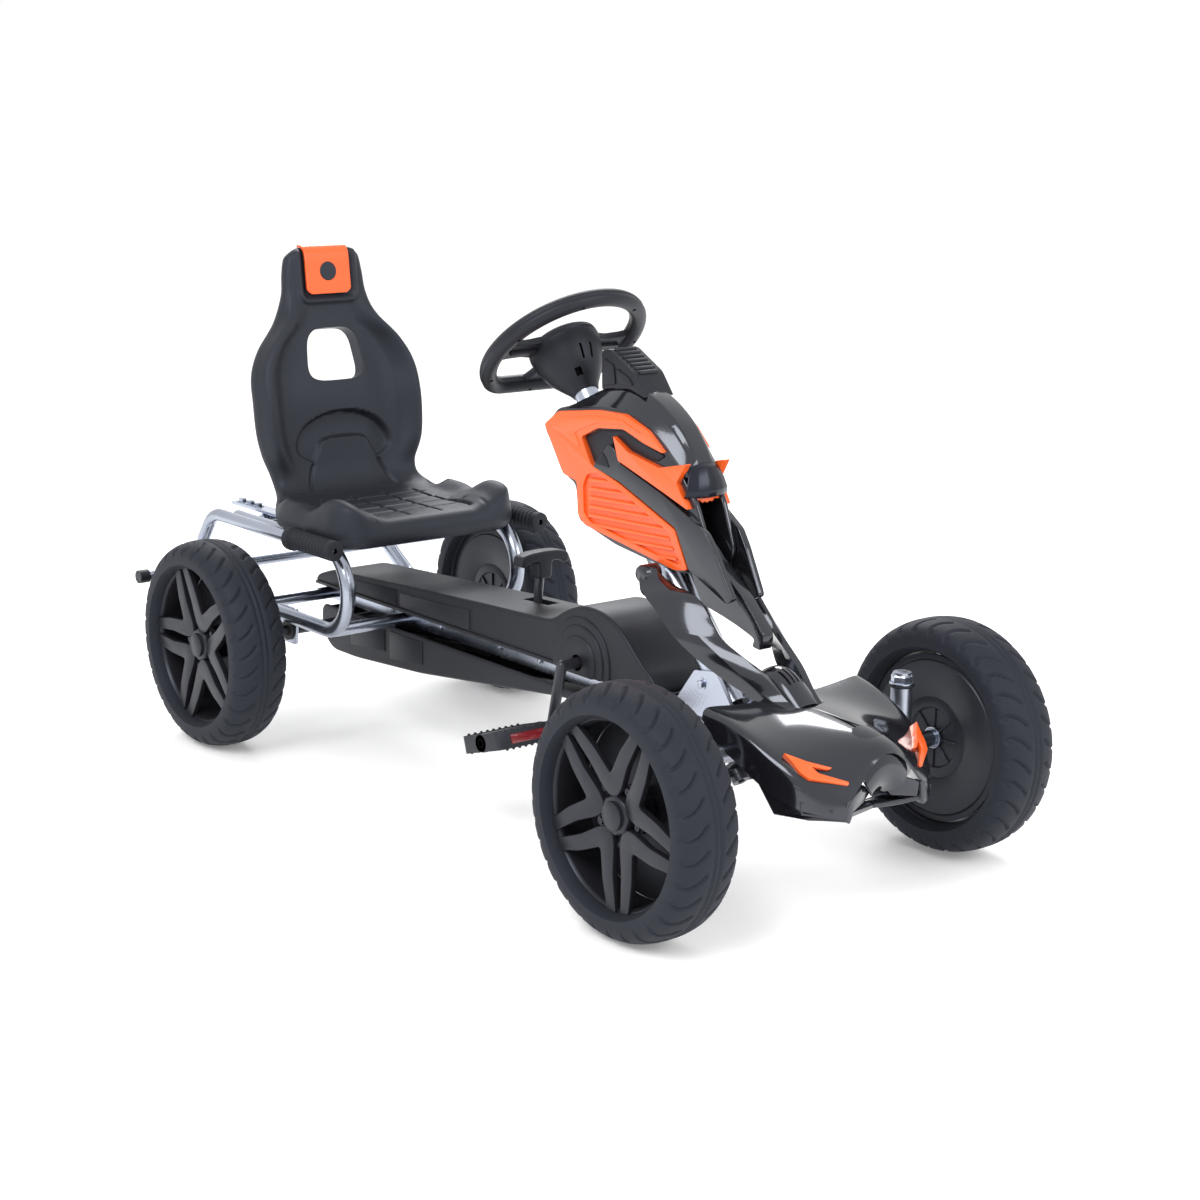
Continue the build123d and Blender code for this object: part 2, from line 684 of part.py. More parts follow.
def tie_rod(side):
    """Rod from the knuckle arm to the pitman stud; the right one carries the stud."""
    sign = SIDES[side]
    x = sign * kingpin_spread
    outer_y = front_axle_y + knuckle_arm
    drop = 3 + 1 + 5
    level = arm_z - drop
    eye_offset = 0 if side == "right" else -(tie_rod_eye_height + 0.5)
    inner = rod_foot + column_axis * eye_offset
    eye_reach = stud_radius + 7
    eye_plane = Plane(origin=tuple(inner), x_dir=(1, 0, 0), z_dir=tuple(column_axis))
    solid = upright(9, x, outer_y, level - 5, level + 5)
    solid += upright(stud_radius, x, outer_y, level, arm_z + 7)
    rod_end = (inner.X + sign * (eye_reach - 3), inner.Y, inner.Z)
    solid += rod_between(tie_rod_radius - 1.2, (x, outer_y, level), rod_end)
    if side == "right":
        solid += eye_plane * Cylinder(eye_reach, tie_rod_eye_height)
        low = -(tie_rod_eye_height * 1.5 + 2.5)
        high = tie_rod_eye_height / 2 + 1 + pitman_thickness + stud_travel + 5
        solid += eye_plane * (Pos(0, 0, (low + high) / 2) * Cylinder(stud_radius, high - low))
        solid += eye_plane * (Pos(0, 0, high - 2.5) * Cylinder(stud_radius + 4, 5))
        return solid
    solid += eye_plane * Cylinder(eye_reach, tie_rod_eye_height)
    return solid - eye_plane * Cylinder(stud_radius + 0.3, tie_rod_eye_height + 2)


# ---------------------------------------------------------------- seat
def seat_back_band():
    """Side section of the back rest as a wide slab."""
    outline = [(rear(30), 330), (rear(40), 362), (rear(52), 400), (rear(54), 441), (rear(88), 563),
               (rear(97), headrest_top_z - 14), (rear(103), headrest_top_z), (rear(120), headrest_top_z),
               (rear(128), headrest_top_z - 14), (rear(122), 600), (rear(97), 520), (rear(88), 430),
               (rear(90), 330)]
    return side_plate(outline, -200, 200)


def seat_back_outline():
    """Front view of the back rest."""
    half = [(0, 320), (112, 320), (128, 357), (137, 419), (137, 488), (125, 529), (97, 560), (74, 600),
            (66, 640), (60, 670), (46, headrest_top_z + 2), (0, headrest_top_z + 2)]
    other = [(-x, z) for x, z in reversed(half[1:-1])]
    face = make_face(Polyline(*(half + other), close=True))
    plane = Plane(origin=(0, rear(200), 0), x_dir=(1, 0, 0), z_dir=(0, -1, 0))
    return extrude(plane * face, 260)


def seat_shell():
    """Moulded seat: pan with a front lip, back rest with an opening and a recess for the headrest pad."""
    pan_outline = [(rear(-184), seat_floor_z), (rear(-188), 322), (rear(-176), 343), (rear(-158), seat_top_z),
                   (rear(-40), seat_top_z - 4), (rear(-8), 341), (rear(94), 341), (rear(94), seat_floor_z)]
    pan = side_plate(pan_outline, -seat_half_width, seat_half_width)
    lip_outline = [(rear(-186), seat_lip_z), (rear(-187), seat_floor_z + 6), (rear(-150), seat_floor_z + 6),
                   (rear(-160), seat_lip_z)]
    lip = side_plate(lip_outline, -118, 118)
    back = seat_back_band() & seat_back_outline()
    rounding = box_from(-seat_half_width, seat_half_width, rear(-188), rear(94), 280, 400)
    rounding = fillet(rounding.edges().filter_by(Axis.Z), 42)
    shell = (pan & rounding) + lip + back
    hole = box_from(-44, 44, rear(40), rear(160), 487, 560)
    hole = fillet(hole.edges().filter_by(Axis.Y), 14)
    shell -= hole
    return shell - headrest_pad()


def headrest_pad():
    """Block set in the front and over the top of the headrest."""
    outline = [(rear(80), 617), (rear(99), 617), (rear(107), headrest_top_z - 8),
               (rear(126), headrest_top_z - 8),
               (rear(126), headrest_top_z + 10), (rear(80), headrest_top_z + 10)]
    block = side_plate(outline, -38, 38)
    return block & seat_back_band()


def headrest_insert():
    pad = headrest_pad() & seat_back_outline()
    return pad - headrest_button_shape()


def headrest_button_shape():
    plane = Plane(origin=(0, rear(92), 648), x_dir=(1, 0, 0), z_dir=(0, 1, 0))
    return plane * Cylinder(9, 8, align=(Align.CENTER, Align.CENTER, Align.MIN))


def seat_mounts():
    """Two flat bars that slide on the frame's seat tubes, with feet up to the seat."""
    low = loop_middle_z + loop_bend + 9 + slide_gap
    solids = []
    for side in (-1, 1):
        x = side * seat_bar_x
        bar = box_from(x - seat_bar_width / 2, x + seat_bar_width / 2, rear(-140), rear(170), low,
                       low + seat_bar_thickness)
        solids.append(bar)
    return Compound(children=solids)


def seat_fasteners():
    """Bolts through the slide bars behind the seat."""
    low = loop_middle_z + loop_bend + 9 + slide_gap + seat_bar_thickness
    solids = []
    for side in (-1, 1):
        for distance in (112, 134, 158):
            solids.append(upright(6, side * seat_bar_x, rear(distance), low, low + 5))
    return Compound(children=solids)


# ---------------------------------------------------------------- fairing and nose
def column_room():
    return column_cylinder(post_radius + post_room, -60, column_length - bell_length - 4)


fairing_y = front(401.4)


def outline_from_front(points):
    """Outline of (distance behind the front axle, height) points."""
    return [(front(distance), z) for distance, z in points]


def both_sides(shape):
    return [shape, mirrored(shape)]


def fairing_hood():
    """Black hood over the front of the column."""
    outline = [(401, 520), (333, 553), (292, 558), (233, 535), (181, 480), (178, 470), (225, 500), (280, 520),
               (340, 508), (395, 496)]
    hood = side_plate(outline_from_front(outline), -hood_half_width, hood_half_width) - column_room()
    for part in both_sides(fairing_side()) + both_sides(orange_panel()) + list(fang_strips().solids()):
        hood -= part
    return hood


def dash_console():
    """Box with a ribbed ramp between the hood and the wheel."""
    outline = [(346, 549), (347, 598), (333, 603), (285, 578), (262, 548.5), (292, 559), (333, 554)]
    return side_plate(outline_from_front(outline), -24, 24) - column_room()


def fairing_side():
    """Left black side frame of the fairing."""
    outline = [(426, 496), (400, 524), (323, 533), (279, 534), (238, 519), (208, 493), (190, 470),
               (164, 436), (140, 380), (150, 352), (190, 349), (247, 356.5), (299, 366), (363, 387),
               (369, 432), (387, 440)]
    plate = slanted_plate(outline_from_front(outline), fairing_half_width, fairing_taper,
                          side_plate_thickness, fairing_y)
    return plate - column_room()


def orange_panel():
    """Left coloured panel set on the side frame, a C round the eye opening."""
    outline = [(417, 502), (392, 521), (323, 530), (279, 530), (240, 514.5), (211, 490.5), (243, 498.6),
               (279, 512), (323, 508), (351, 494), (334, 462), (285, 445), (191, 402), (169, 356), (190, 353),
               (344, 385), (356, 396.5), (358, 437.5), (383, 444)]
    return slanted_plate(outline_from_front(outline), fairing_half_width, fairing_taper, panel_thickness,
                         fairing_y, side_plate_thickness)


def fang_strips():
    """Coloured blades beside the headlight, one each side."""
    outline = [(294, 501), (271, 485.5), (218, 472.7), (173, 482), (189, 458), (169, 430), (213, 445.5),
               (286, 473)]
    blade = slanted_plate(outline_from_front(outline), fairing_half_width, fairing_taper, panel_thickness,
                          fairing_y, side_plate_thickness)
    return Compound(children=both_sides(blade))


def headlight_lens():
    outline = [(206, 452), (178, 452), (171, 468), (182, 479), (206, 492)]
    lens = side_plate(outline_from_front(outline), -27, 27) - fairing_hood()
    for part in both_sides(fairing_side()) + list(fang_strips().solids()):
        lens -= part
    return lens


def fairing_legs():
    """Two legs from the side frames down to the nose, with a vented dome between their feet."""
    outline = [(199, 440), (171, 400), (139, 345), (76, 305), (36, 280), (-5, 234), (-21, 222), (20, 226),
               (81, 238), (143, 256), (199, 290), (236, 328), (229, 352)]
    leg = slanted_plate(outline_from_front(outline), leg_half_width, leg_taper, leg_thickness, front(231.4))
    window = [(150, 322), (125, 318), (50, 262), (95, 262)]
    leg -= side_plate(outline_from_front(window), 10, 60)
    dome_outline = [(64, 226), (58, 250), (40, 261), (20, 258), (-10, 230), (-10, 226)]
    dome = side_plate(outline_from_front(dome_outline), -28, 28)
    legs = leg + dome + mirrored(leg)
    for part in both_sides(fairing_side()) + both_sides(orange_panel()) + [headlight_lens()]:
        legs -= part
    return legs


def nose_shell():
    """Wide moulded nose over the front axle: top plate, side walls and a split front."""
    top = [(24, 214), (30, 224), (-50, 222), (-100, 216), (-144, 205), (-144, 150), (-122, 134), (-104, 130),
           (-104, 150), (-128, 156), (-134, 196), (-90, 208), (-20, 214)]
    middle = side_plate([(front(d), z) for d, z in top], -62, 62)
    wing = [(20, 226), (-2, 222), (-60, 212), (-118, 176), (-132, 150), (-80, 134), (-60, 150), (-30, 176),
            (-2, 200)]
    near = side_plate([(front(d), z) for d, z in wing], 62, 118)
    inner_wing = [(40, 214), (-60, 207), (-112, 172), (-116, 120), (40, 120)]
    inner = side_plate([(front(d), z) for d, z in inner_wing], 50, 114)
    near = near - inner
    shell = middle + near + mirrored(near) - column_room() - fairing_legs()
    for lamp in lamp_inserts().solids():
        shell -= lamp
    return shell


def lamp_inserts():
    """Coloured lamp blades let into the corners of the nose."""
    blade = rod_between(6, (103, front(-79), 201), (62, front(-127), 171))
    return Compound(children=both_sides(blade))


def frame_fasteners():
    """Bolt heads and nuts on the beam, the post plates and the cover."""
    solids = []
    outer = beam_width / 2 + plate_thickness
    for side in (-1, 1):
        for distance, z in ((144, beam_top + 30), (205, beam_middle + 2), (60, beam_middle)):
            solids.append(rod_x(5, side * outer, side * (outer + 4), front(distance), z))
    return Compound(children=solids)


# ---------------------------------------------------------------- all nodes
def all_nodes():
    nodes = {}
    nodes["main_beam"] = main_beam()
    nodes["steering_post"] = steering_post()
    nodes["post_side_plates"] = post_side_plates()
    nodes["front_cross_member"] = front_cross_member()
    nodes["cross_tubes"] = cross_tubes()
    nodes["rear_bar"] = rear_bar()
    nodes["hand_grips"] = Compound(children=[hand_grip(), mirrored(hand_grip())])
    nodes["rear_bar_caps"] = rear_bar_caps()
    nodes["axle_brackets"] = axle_brackets()
    nodes["bearings"] = bearings()
    nodes["brake_pin"] = brake_pin()
    nodes["upper_cover"] = upper_cover()
    nodes["lower_guard"] = lower_guard()
    nodes["fairing_hood"] = fairing_hood()
    nodes["dash_console"] = dash_console()
    nodes["fang_strips"] = fang_strips()
    nodes["headlight_lens"] = headlight_lens()
    nodes["fairing_legs"] = fairing_legs()
    nodes["nose_shell"] = nose_shell()
    nodes["lamp_inserts"] = lamp_inserts()
    nodes["frame_fasteners"] = frame_fasteners()
    nodes["chain"] = chain()
    nodes["seat_shell"] = seat_shell()
    nodes["headrest_insert"] = headrest_insert()
    nodes["headrest_button"] = headrest_button_shape()
    nodes["seat_mounts"] = seat_mounts()
    nodes["seat_fasteners"] = seat_fasteners()
    nodes["steering_wheel"] = steering_wheel()
    nodes["steering_hub_cover"] = steering_hub_cover()
    nodes["steering_column"] = steering_column()
    nodes["column_collar"] = column_collar()
    nodes["pitman_plate"] = pitman_plate()
    axle_end = rear_track / 2 + 24
    nodes["rear_axle"] = rod_x(rear_axle_radius, -axle_end, axle_end, rear_axle_y, axle_z)
    nodes["rear_sprocket"] = rear_sprocket()
    nodes["crank"] = crank()
    nodes["chainring"] = chainring()
    nodes["brake_lever"] = brake_lever()
    nodes["brake_handle"] = brake_handle()
    for name, sign in SIDES.items():
        nodes["seat_loop_" + name] = on_side(seat_loop(), sign)
        nodes["grip_rail_" + name] = on_side(grip_rail(), sign)
        nodes["fairing_side_" + name] = on_side(fairing_side(), sign)
        nodes["orange_panel_" + name] = on_side(orange_panel(), sign)
        nodes["knuckle_" + name] = kingpin_parts(name)
        nodes["tie_rod_" + name] = tie_rod(name)
        nodes["pedal_" + name] = pedal(name)
        nodes["front_tyre_" + name] = on_side(tyre(front_track, front_axle_y), sign)
        nodes["rear_tyre_" + name] = on_side(tyre(rear_track, rear_axle_y), sign)
        front_rim = rim(front_track, front_axle_y, stub_axle_radius + running_gap, front_spoke_turn)
        nodes["front_rim_" + name] = on_side(front_rim, sign)
        bore = rear_axle_radius + (running_gap if name == "left" else 0.0)
        nodes["rear_rim_" + name] = on_side(rim(rear_track, rear_axle_y, bore, 0.0), sign)
    return nodes


os.makedirs("parts", exist_ok=True)
for node_name, node_shape in all_nodes().items():
    export_step(node_shape, "parts/" + node_name + ".step")
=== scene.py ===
import bpy
import json
from math import atan2, cos, pi, radians, sin
from mathutils import Matrix, Vector


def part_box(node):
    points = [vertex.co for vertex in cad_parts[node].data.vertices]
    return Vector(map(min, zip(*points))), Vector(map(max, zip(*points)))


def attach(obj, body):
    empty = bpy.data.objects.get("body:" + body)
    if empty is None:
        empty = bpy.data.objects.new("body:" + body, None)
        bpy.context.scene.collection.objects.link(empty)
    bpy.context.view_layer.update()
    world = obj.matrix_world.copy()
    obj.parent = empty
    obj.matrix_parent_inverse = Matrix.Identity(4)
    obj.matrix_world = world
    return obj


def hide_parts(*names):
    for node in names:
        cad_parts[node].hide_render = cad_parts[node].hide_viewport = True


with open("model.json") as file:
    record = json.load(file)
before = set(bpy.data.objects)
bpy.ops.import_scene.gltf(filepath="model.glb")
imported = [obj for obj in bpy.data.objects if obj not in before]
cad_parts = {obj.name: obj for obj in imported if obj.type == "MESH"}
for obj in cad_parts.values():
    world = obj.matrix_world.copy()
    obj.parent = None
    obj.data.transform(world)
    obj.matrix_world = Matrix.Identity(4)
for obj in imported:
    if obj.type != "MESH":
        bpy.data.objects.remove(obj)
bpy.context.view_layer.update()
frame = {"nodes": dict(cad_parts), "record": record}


# ---------------------------------------------------------------- camera, floor and lights
def camera():
    """The view: the way it faces, its lens and where it stands."""
    back = Vector((-0.606, -0.761, 0.230)).normalized()
    right = Vector((0.782, -0.623, 0.0)).normalized()
    up = back.cross(right)
    roll = radians(0.64)
    across = right * cos(roll) + up * sin(roll)
    upward = up * cos(roll) - right * sin(roll)
    data = bpy.data.cameras.new("view")
    data.lens = 68.64
    data.sensor_width = 36.0
    data.clip_start = 0.05
    data.clip_end = 100.0
    item = bpy.data.objects.new("view", data)
    place = Matrix((across, upward, back)).transposed().to_4x4()
    place.translation = Vector((-1.763, -2.3188, 0.945))
    item.matrix_world = place
    bpy.context.collection.objects.link(item)
    bpy.context.scene.camera = item


def softbox(name, place, aim, size, power):
    """A rectangular lamp that faces a point."""
    data = bpy.data.lights.new(name, "AREA")
    data.shape = "RECTANGLE"
    data.size, data.size_y = size
    data.energy = power
    item = bpy.data.objects.new(name, data)
    item.location = place
    item.rotation_euler = (Vector(aim) - Vector(place)).to_track_quat("-Z", "Y").to_euler()
    bpy.context.collection.objects.link(item)


def studio():
    """White floor, even sky and three soft lamps."""
    bpy.ops.object.select_all(action="DESELECT")
    bpy.ops.mesh.primitive_grid_add(x_subdivisions=4, y_subdivisions=4, size=40, location=(0, 0, 0))
    floor = bpy.context.active_object
    floor.name = "studio_floor"
    finish = bpy.data.materials.new("studio_floor")
    finish.use_nodes = True
    shader = finish.node_tree.nodes["Principled BSDF"]
    shader.inputs["Base Color"].default_value = (0.96, 0.96, 0.96, 1)
    shader.inputs["Roughness"].default_value = 0.7
    shader.inputs["Emission Color"].default_value = (1, 1, 1, 1)
    shader.inputs["Emission Strength"].default_value = 0.16
    floor.data.materials.append(finish)
    world = bpy.data.worlds.new("studio")
    world.use_nodes = True
    world.node_tree.nodes["Background"].inputs["Color"].default_value = (1, 1, 1, 1)
    world.node_tree.nodes["Background"].inputs["Strength"].default_value = 1.0
    bpy.context.scene.world = world
    bpy.context.scene.view_settings.view_transform = "Standard"
    softbox("key", (-2.6, -1.2, 2.8), (0, 0, 0.3), (1.8, 1.8), 75)
    softbox("fill", (0.8, -3.0, 1.9), (0, -0.2, 0.3), (1.8, 1.2), 34)
    softbox("rim_light", (1.6, 2.2, 2.4), (0, 0, 0.4), (1.6, 1.0), 48)


camera()
studio()


# ---------------------------------------------------------------- materials
def surface_wear():
    """Fine grain, soft mottling and worn edges, shared by the plastics and metals."""
    group = bpy.data.node_groups.new("surface_wear", "ShaderNodeTree")
    sockets = group.interface
    for name, kind, first in (
            ("Colour", "NodeSocketColor", None), ("Roughness", "NodeSocketFloat", 0.5),
            ("Grain Scale", "NodeSocketFloat", 900.0), ("Grain Depth", "NodeSocketFloat", 0.2),
            ("Mottle", "NodeSocketFloat", 0.1), ("Edge Wear", "NodeSocketFloat", 0.2)):
        made = sockets.new_socket(name=name, in_out="INPUT", socket_type=kind)
        if first is not None:
            made.default_value = first
    for name, kind in (("Colour", "NodeSocketColor"), ("Roughness", "NodeSocketFloat"),
                       ("Height", "NodeSocketFloat")):
        sockets.new_socket(name=name, in_out="OUTPUT", socket_type=kind)
    nodes, links = group.nodes, group.links
    given, out = nodes.new("NodeGroupInput"), nodes.new("NodeGroupOutput")
    place = nodes.new("ShaderNodeTexCoord")
    grain = nodes.new("ShaderNodeTexNoise")
    grain.inputs["Detail"].default_value = 2.0
    mottle = nodes.new("ShaderNodeTexNoise")
    mottle.inputs["Scale"].default_value = 14.0
    mottle.inputs["Detail"].default_value = 5.0
    edges = nodes.new("ShaderNodeNewGeometry")
    links.new(place.outputs["Object"], grain.inputs["Vector"])
    links.new(place.outputs["Object"], mottle.inputs["Vector"])
    links.new(given.outputs["Grain Scale"], grain.inputs["Scale"])

    def maths(kind, a, b):
        node = nodes.new("ShaderNodeMath")
        node.operation = kind
        for socket, value in zip(node.inputs, (a, b)):
            if isinstance(value, (int, float)):
                socket.default_value = value
            else:
                links.new(value, socket)
        return node.outputs[0]
    spread = maths("SUBTRACT", mottle.outputs["Fac"], 0.5)
    amount = maths("MULTIPLY", spread, given.outputs["Mottle"])
    ridge = nodes.new("ShaderNodeMapRange")
    ridge.inputs["From Min"].default_value = 0.52
    ridge.inputs["From Max"].default_value = 0.62
    links.new(edges.outputs["Pointiness"], ridge.inputs["Value"])
    worn = maths("MULTIPLY", ridge.outputs["Result"], given.outputs["Edge Wear"])
    bright = nodes.new("ShaderNodeHueSaturation")
    links.new(given.outputs["Colour"], bright.inputs["Color"])
    links.new(maths("ADD", maths("ADD", amount, worn), 1.0), bright.inputs["Value"])
    links.new(bright.outputs["Color"], out.inputs["Colour"])
    links.new(maths("ADD", given.outputs["Roughness"], amount), out.inputs["Roughness"])
    links.new(maths("MULTIPLY", grain.outputs["Fac"], given.outputs["Grain Depth"]), out.inputs["Height"])
    return group


wear = surface_wear()


def finish(
        name, colour, rough, metal=0.0, coat=0.0, scale=900.0, depth=0.2, mottle=0.12, edge=0.25,
        lift=0.0004):
    """A material with the shared grain, mottling and worn edges."""
    item = bpy.data.materials.new(name)
    item.use_nodes = True
    nodes, links = item.node_tree.nodes, item.node_tree.links
    shader = nodes["Principled BSDF"]
    shader.inputs["Metallic"].default_value = metal
    shader.inputs["Specular IOR Level"].default_value = 0.5 if coat or metal else 0.34
    if not metal and colour[0] < 0.05:
        shader.inputs["Specular Tint"].default_value = (0.76, 0.83, 1.0, 1)
    shader.inputs["Coat Weight"].default_value = coat
    shader.inputs["Coat Roughness"].default_value = 0.06
    effect = nodes.new("ShaderNodeGroup")
    effect.node_tree = wear
    effect.inputs["Colour"].default_value = (*colour, 1)
    for socket, value in (("Roughness", rough), ("Grain Scale", scale), ("Grain Depth", depth),
                          ("Mottle", mottle), ("Edge Wear", edge)):
        effect.inputs[socket].default_value = value
    bump = nodes.new("ShaderNodeBump")
    bump.inputs["Distance"].default_value = lift
    links.new(effect.outputs["Colour"], shader.inputs["Base Color"])
    links.new(effect.outputs["Roughness"], shader.inputs["Roughness"])
    links.new(effect.outputs["Height"], bump.inputs["Height"])
    links.new(bump.outputs["Normal"], shader.inputs["Normal"])
    return item


finishes = {
    "zinc_steel": finish("zinc_steel", (0.36, 0.39, 0.46), 0.26, metal=1.0, scale=260, mottle=0.22),
    "sleeve_steel": finish("sleeve_steel", (0.30, 0.32, 0.37), 0.32, metal=1.0, scale=300, mottle=0.2),
    "black_steel": finish("black_steel", (0.018, 0.018, 0.021), 0.38, coat=0.2),
    "chain_steel": finish("chain_steel", (0.16, 0.15, 0.14), 0.42, metal=1.0),
    "tyre_foam": finish("tyre_foam", (0.011, 0.012, 0.017), 0.62, scale=1400, depth=0.6),
    "wheel_plastic": finish("wheel_plastic", (0.013, 0.013, 0.016), 0.33),
    "seat_plastic": finish("seat_plastic", (0.016, 0.017, 0.022), 0.46, scale=1600, depth=0.55),
    "cover_plastic": finish("cover_plastic", (0.011, 0.011, 0.013), 0.42, scale=1500, depth=0.45),
    "gloss_black": finish("gloss_black", (0.008, 0.008, 0.010), 0.14, coat=0.6, depth=0.05),
    "orange_plastic": finish("orange_plastic", (0.82, 0.105, 0.012), 0.27, coat=0.35, depth=0.06,
    mottle=0.05), "smoked_lens": finish("smoked_lens", (0.008, 0.008, 0.012), 0.24, depth=0.02),
    "grip_rubber": finish("grip_rubber", (0.012, 0.012, 0.014), 0.6, scale=1200, depth=0.5),
    "bush_plastic": finish("bush_plastic", (0.06, 0.06, 0.06), 0.5),
    "pedal_plastic": finish("pedal_plastic", (0.016, 0.016, 0.018), 0.44, scale=1300, depth=0.5),}
for part in frame["record"]["subparts"]:
    node = bpy.data.objects.get(part["node"]) or frame["nodes"].get(part["node"])
    node.data.materials.clear()
    node.data.materials.append(finishes[part["material_slot"]])


# ---------------------------------------------------------------- making pieces
MM = 0.001
front_y = (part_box("front_tyre_left")[0][1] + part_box("front_tyre_left")[1][1]) / 2
rear_y = (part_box("rear_tyre_left")[0][1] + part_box("rear_tyre_left")[1][1]) / 2
axle_height = (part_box("front_tyre_left")[0][2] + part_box("front_tyre_left")[1][2]) / 2
front_wheel_x = (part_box("front_tyre_left")[0][0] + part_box("front_tyre_left")[1][0]) / 2
rear_wheel_x = (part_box("rear_tyre_left")[0][0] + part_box("rear_tyre_left")[1][0]) / 2


def nose(distance):
    """Y in millimetres of a point this far behind the front axle."""
    return front_y / MM + distance


def tail(distance):
    """Y in millimetres of a point this far behind the rear axle."""
    return rear_y / MM + distance


def only(item):
    """Select this object alone."""
    bpy.ops.object.select_all(action="DESELECT")
    item.select_set(True)
    bpy.context.view_layer.objects.active = item


def edit(item):
    """Open a piece for editing with all of it selected."""
    only(item)
    bpy.ops.object.mode_set(mode="EDIT")
    bpy.ops.mesh.select_all(action="SELECT")


def leave():
    bpy.ops.object.mode_set(mode="OBJECT")


def modify(item, kind, **settings):
    """Add a modifier to a piece and apply it."""
    only(item)
    change = item.modifiers.new(kind.lower(), kind)
    for name, value in settings.items():
        setattr(change, name, value)
    bpy.ops.object.modifier_apply(modifier=change.name)
    return item


def soften(item, width, segments=3, angle=30):
    """Round off every edge sharper than an angle."""
    return modify(item, "BEVEL", width=width * MM, segments=segments, limit_method="ANGLE",
                  angle_limit=radians(angle), harden_normals=False)


def outward(item):
    """Weld a piece's seams and turn its faces outward."""
    edit(item)
    bpy.ops.mesh.remove_doubles(threshold=0.000002)
    bpy.ops.mesh.normals_make_consistent(inside=False)
    leave()
    return item


def face(corners):
    """A filled outline through these points, in millimetres."""
    bpy.ops.object.select_all(action="DESELECT")
    bpy.ops.mesh.primitive_circle_add(vertices=len(corners), radius=1, fill_type="NGON")
    item = bpy.context.active_object
    for corner, place in zip(item.data.vertices, corners):
        corner.co = Vector(place) * MM
    return item


def slab(corners, step):
    """An outline drawn out along a step, closed."""
    item = face(corners)
    edit(item)
    bpy.ops.mesh.extrude_region_move(TRANSFORM_OT_translate={"value": Vector(step) * MM})
    leave()
    return outward(item)


def turned(section, centre, axis, across, steps, angle=2 * pi):
    """A section of (along the axis, radius) points spun about the axis."""
    axis, across = Vector(axis).normalized(), Vector(across).normalized()
    item = face([Vector(centre) + axis * along + across * radius for along, radius in section])
    edit(item)
    bpy.ops.mesh.delete(type="ONLY_FACE")
    bpy.ops.mesh.select_all(action="SELECT")
    bpy.ops.mesh.spin(steps=steps, angle=angle, center=Vector(centre) * MM, axis=axis)
    leave()
    return outward(item)


def spun_on_x(section, steps):
    """A section spun about the X axis through the origin."""
    return turned(section, (0, 0, 0), (1, 0, 0), (0, 0, 1), steps)


def spun_on_z(section, steps):
    """A section spun about the Z axis through the origin."""
    return turned(section, (0, 0, 0), (0, 0, 1), (1, 0, 0), steps)


def nose_slab(points, step, sign=1):
    """A slab from points of (across, behind the front axle, height), on the side of the sign."""
    return slab([(sign * x, nose(d), z) for x, d, z in points], step)


def rounded(points, cut, steps=4):
    """An outline with every corner rounded off."""
    made = []
    count = len(points)
    for number in range(count):
        before, here, after = (Vector(points[(number + shift) % count]) for shift in (-1, 0, 1))
        first = here + (before - here).normalized() * min(cut, (before - here).length * 0.45)
        last = here + (after - here).normalized() * min(cut, (after - here).length * 0.45)
        for step in range(steps + 1):
            part = step / steps
            made.append(first * (1 - part) ** 2 + here * 2 * part * (1 - part) + last * part ** 2)
    return made


def lofted(rows, levels=2, wall=0.0):
    """A skin through rows of points, smoothed, with a wall behind it if it has one."""
    bpy.ops.object.select_all(action="DESELECT")
    bpy.ops.mesh.primitive_grid_add(x_subdivisions=len(rows[0]) - 1, y_subdivisions=len(rows) - 1, size=1)
    item = bpy.context.active_object
    for point, place in zip(item.data.vertices, [p for row in rows for p in row]):
        point.co = Vector(place) * MM
    if levels:
        modify(item, "SUBSURF", levels=levels, render_levels=levels, boundary_smooth="PRESERVE_CORNERS")
    if wall:
        modify(item, "SOLIDIFY", thickness=abs(wall) * MM, offset=-1 if wall > 0 else 1)
        outward(item)
    return item


def joined(items):
    """Several pieces made into the first one."""
    bpy.ops.object.select_all(action="DESELECT")
    for item in items:
        item.select_set(True)
    bpy.context.view_layer.objects.active = items[0]
    bpy.ops.object.join()
    return items[0]


def copied(item):
    twin = item.copy()
    twin.data = item.data.copy()
    bpy.context.collection.objects.link(twin)
    return twin


def moved(item, matrix):
    item.data.transform(matrix)
    return item


def opposite(item):
    """A mirror image on the kart's other side."""
    twin = moved(copied(item), Matrix.Scale(-1, 4, (1, 0, 0)))
    return outward(twin)


def carve(item, cutters):
    """Cut shapes out of a piece and discard them."""
    for cutter in cutters:
        modify(item, "BOOLEAN", operation="DIFFERENCE", solver="EXACT", object=cutter)
        bpy.data.objects.remove(cutter)
    return item


def dress(item, name, slot, body, nodes=(), angle=38):
    """Name a piece, smooth it, give it its finish, put it on its body and hide the nodes it stands for."""
    item.name = name
    item.data.name = name
    only(item)
    bpy.ops.object.transform_apply(location=True, rotation=True, scale=True)
    bpy.ops.object.shade_smooth_by_angle(angle=radians(angle))
    item.data.materials.clear()
    item.data.materials.append(finishes[slot])
    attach(item, body)
    if nodes:
        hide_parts(*nodes)
    return item


SIDES = {"left": 1, "right": -1}


# ---------------------------------------------------------------- wheels
tyre_radius, tyre_half, rim_radius = 145.0, 41.3, 114.0
spoke_count, spoke_pitch = 5, 72
bolt_circle = 34 * MM


def near_curve(u, v, curve):
    """Distance from a point to a short curve of points."""
    least = 100.0
    for (a, b), (c, d) in zip(curve, curve[1:]):
        span = (c - a) ** 2 + (d - b) ** 2
        part = max(0.0, min(1.0, ((u - a) * (c - a) + (v - b) * (d - b)) / span))
        least = min(least, ((u - a - part * (c - a)) ** 2 + (v - b - part * (d - b)) ** 2) ** 0.5)
    return least


